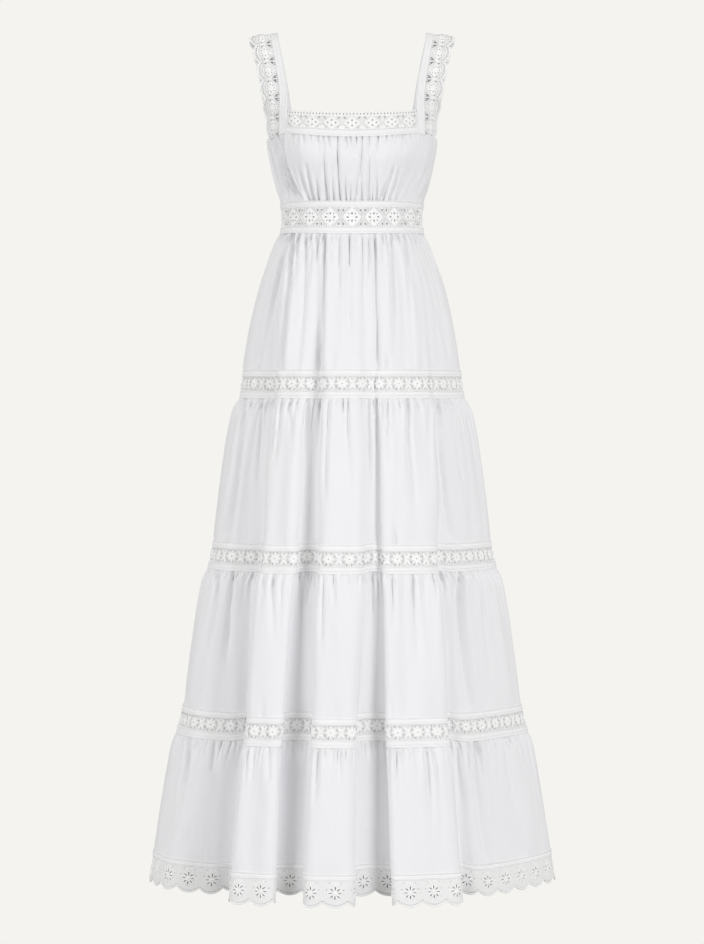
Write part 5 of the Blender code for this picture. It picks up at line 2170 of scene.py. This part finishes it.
def hemEmbroidery(strip, tall, starts, scale, almonds):
    # rims round the almonds, a dome and a fan of leaves over each flower, a cord along the edge
    look = hemLook
    drop, lift = look["drop"], look["thickness"] / 2 - 0.15
    bag = newBag()
    for loop in almonds:
        middle = loop.mean(0)
        rim = (middle + (loop - middle) * look["rim"]) * (scale, -1)
        addMotif(bag, strip, cord(rim[::-1], 2.0, 0.9, True, softRim), starts, drop, lift)
    centre = (look["cell"] / 2 * scale, -look["flowerAt"])
    addMotif(bag, strip, button(*look["dome"], centre), starts, drop, lift)
    fan = [petal(*look["fanLeaf"], turn, 3, centre) for turn in np.radians(look["fan"])]
    addMotif(bag, strip, joined(*fan), starts, drop, lift - 0.1)
    wide, rise, inset = look["edgeCord"]

    def nearEdge(s):
        return hemEdge(s / scale % look["cell"], tall) + drop - inset

    longCord(bag, strip, nearEdge, wide, rise, lift - 0.1, 2.2)
    return makeObject("hemEmbroidery", bag, thread)


def makeHem():
    look = hemLook
    top, tip = seams["hemTapeTop"], seams["hemTip"]
    strip = ringStrip(top, tip, hemSections, 7, 2.4)
    length = strip["length"]
    ends, above = (-0.5, look["tape"]), ["tier_4_front", "tier_4_back"]
    makeTape("hemTape", "hem_tape", strip, ends, above, look["tapeThick"], 4.4, 0.45, 31)

    tall = top - tip - look["tape"]
    cells = int(round(length / look["cell"]))
    placed, faces, spots, scale = hemPlate(strip, tall, cells)
    bag = newBag()
    addShell(bag, placed, faces, spots, look["thickness"] / 2, -look["thickness"] / 2)
    edging = makeObject("hemLace", bag, hemCloth)
    starts = np.arange(cells) * look["cell"] * scale
    almonds, rounds = hemHoles(tall)
    trims = hemEmbroidery(strip, tall, starts, scale, almonds)
    holes = [hole * (scale, 1) for hole in almonds + rounds]
    dark = makeShade("hemShade", shadeNet, strip, holes, starts, look["drop"])
    declare(edging, "hem_lace", (length, tall), ["hem_tape"], [trims, dark])


# ---- build

setCamera()
setWorld()
setFloor()
setLight()
print("view, light and floor are set")

weaveGroup = clothWeaveGroup()
creaseGroup = softCreasesGroup()
stitchRows = stitchRowGroup()
puckerGroup = seamPuckersGroup()
netGroup = netThreadsGroup()
cotton = clothMaterial("whiteCotton", cottonLook)
bodiceCotton = clothMaterial("bodiceCotton", bodiceCottonLook)
tape = clothMaterial("whiteTape", tapeLook, (0.0014, 0.0081))
thread = clothMaterial("whiteThread", threadLook)
net = clothMaterial("whiteNet", netLook)
edgingNet = clothMaterial("edgingNet", edgingLook)
# painted shade: dark, mid and pale sheets behind the lace's openings
shadeNet = clothMaterial("shadeNet", shadeLook)
paleShade = clothMaterial("paleShade", paleShadeLook)
midShade = clothMaterial("midShade", midShadeLook)
hemCloth = clothMaterial("hemCloth", hemClothLook)
print("materials are made")

for number in range(4):
    pieces = makeTier(number, cotton)
    above = "waist_lower_tape" if number == 0 else f"insertion_{number}_lower_tape"
    flat = (tierLook["cut"][number] / 2, tierSections[number][0].z - tierSections[number][-1].z)
    for piece, side in zip(pieces, ("front", "back")):
        node = f"tier_{number + 1}_{side}"
        declare(piece, node, flat, [above], slot="white_cotton")
print("the four tiers are gathered")

for number in range(3):
    makeInsertion(number)
print("the insertions are laid")

makeHem()
print("the hem edging is cut")

straps = ["strap_tape_left", "strap_tape_right"]
for seed, (name, node, ends, pleats, gathers, lap, flat) in enumerate(bodicePanels):
    piece = bodicePanel(name, ends, pleats, gathers, 60 + seed, lap)
    declare(piece, node, flat, straps, slot="white_cotton")
makeNeckline()
makeBackCasing()
print("the bodice is sewn")

makeStrap("Left", -1)
makeStrap("Right", 1)
makeWaist()
print("straps and waist band are on")
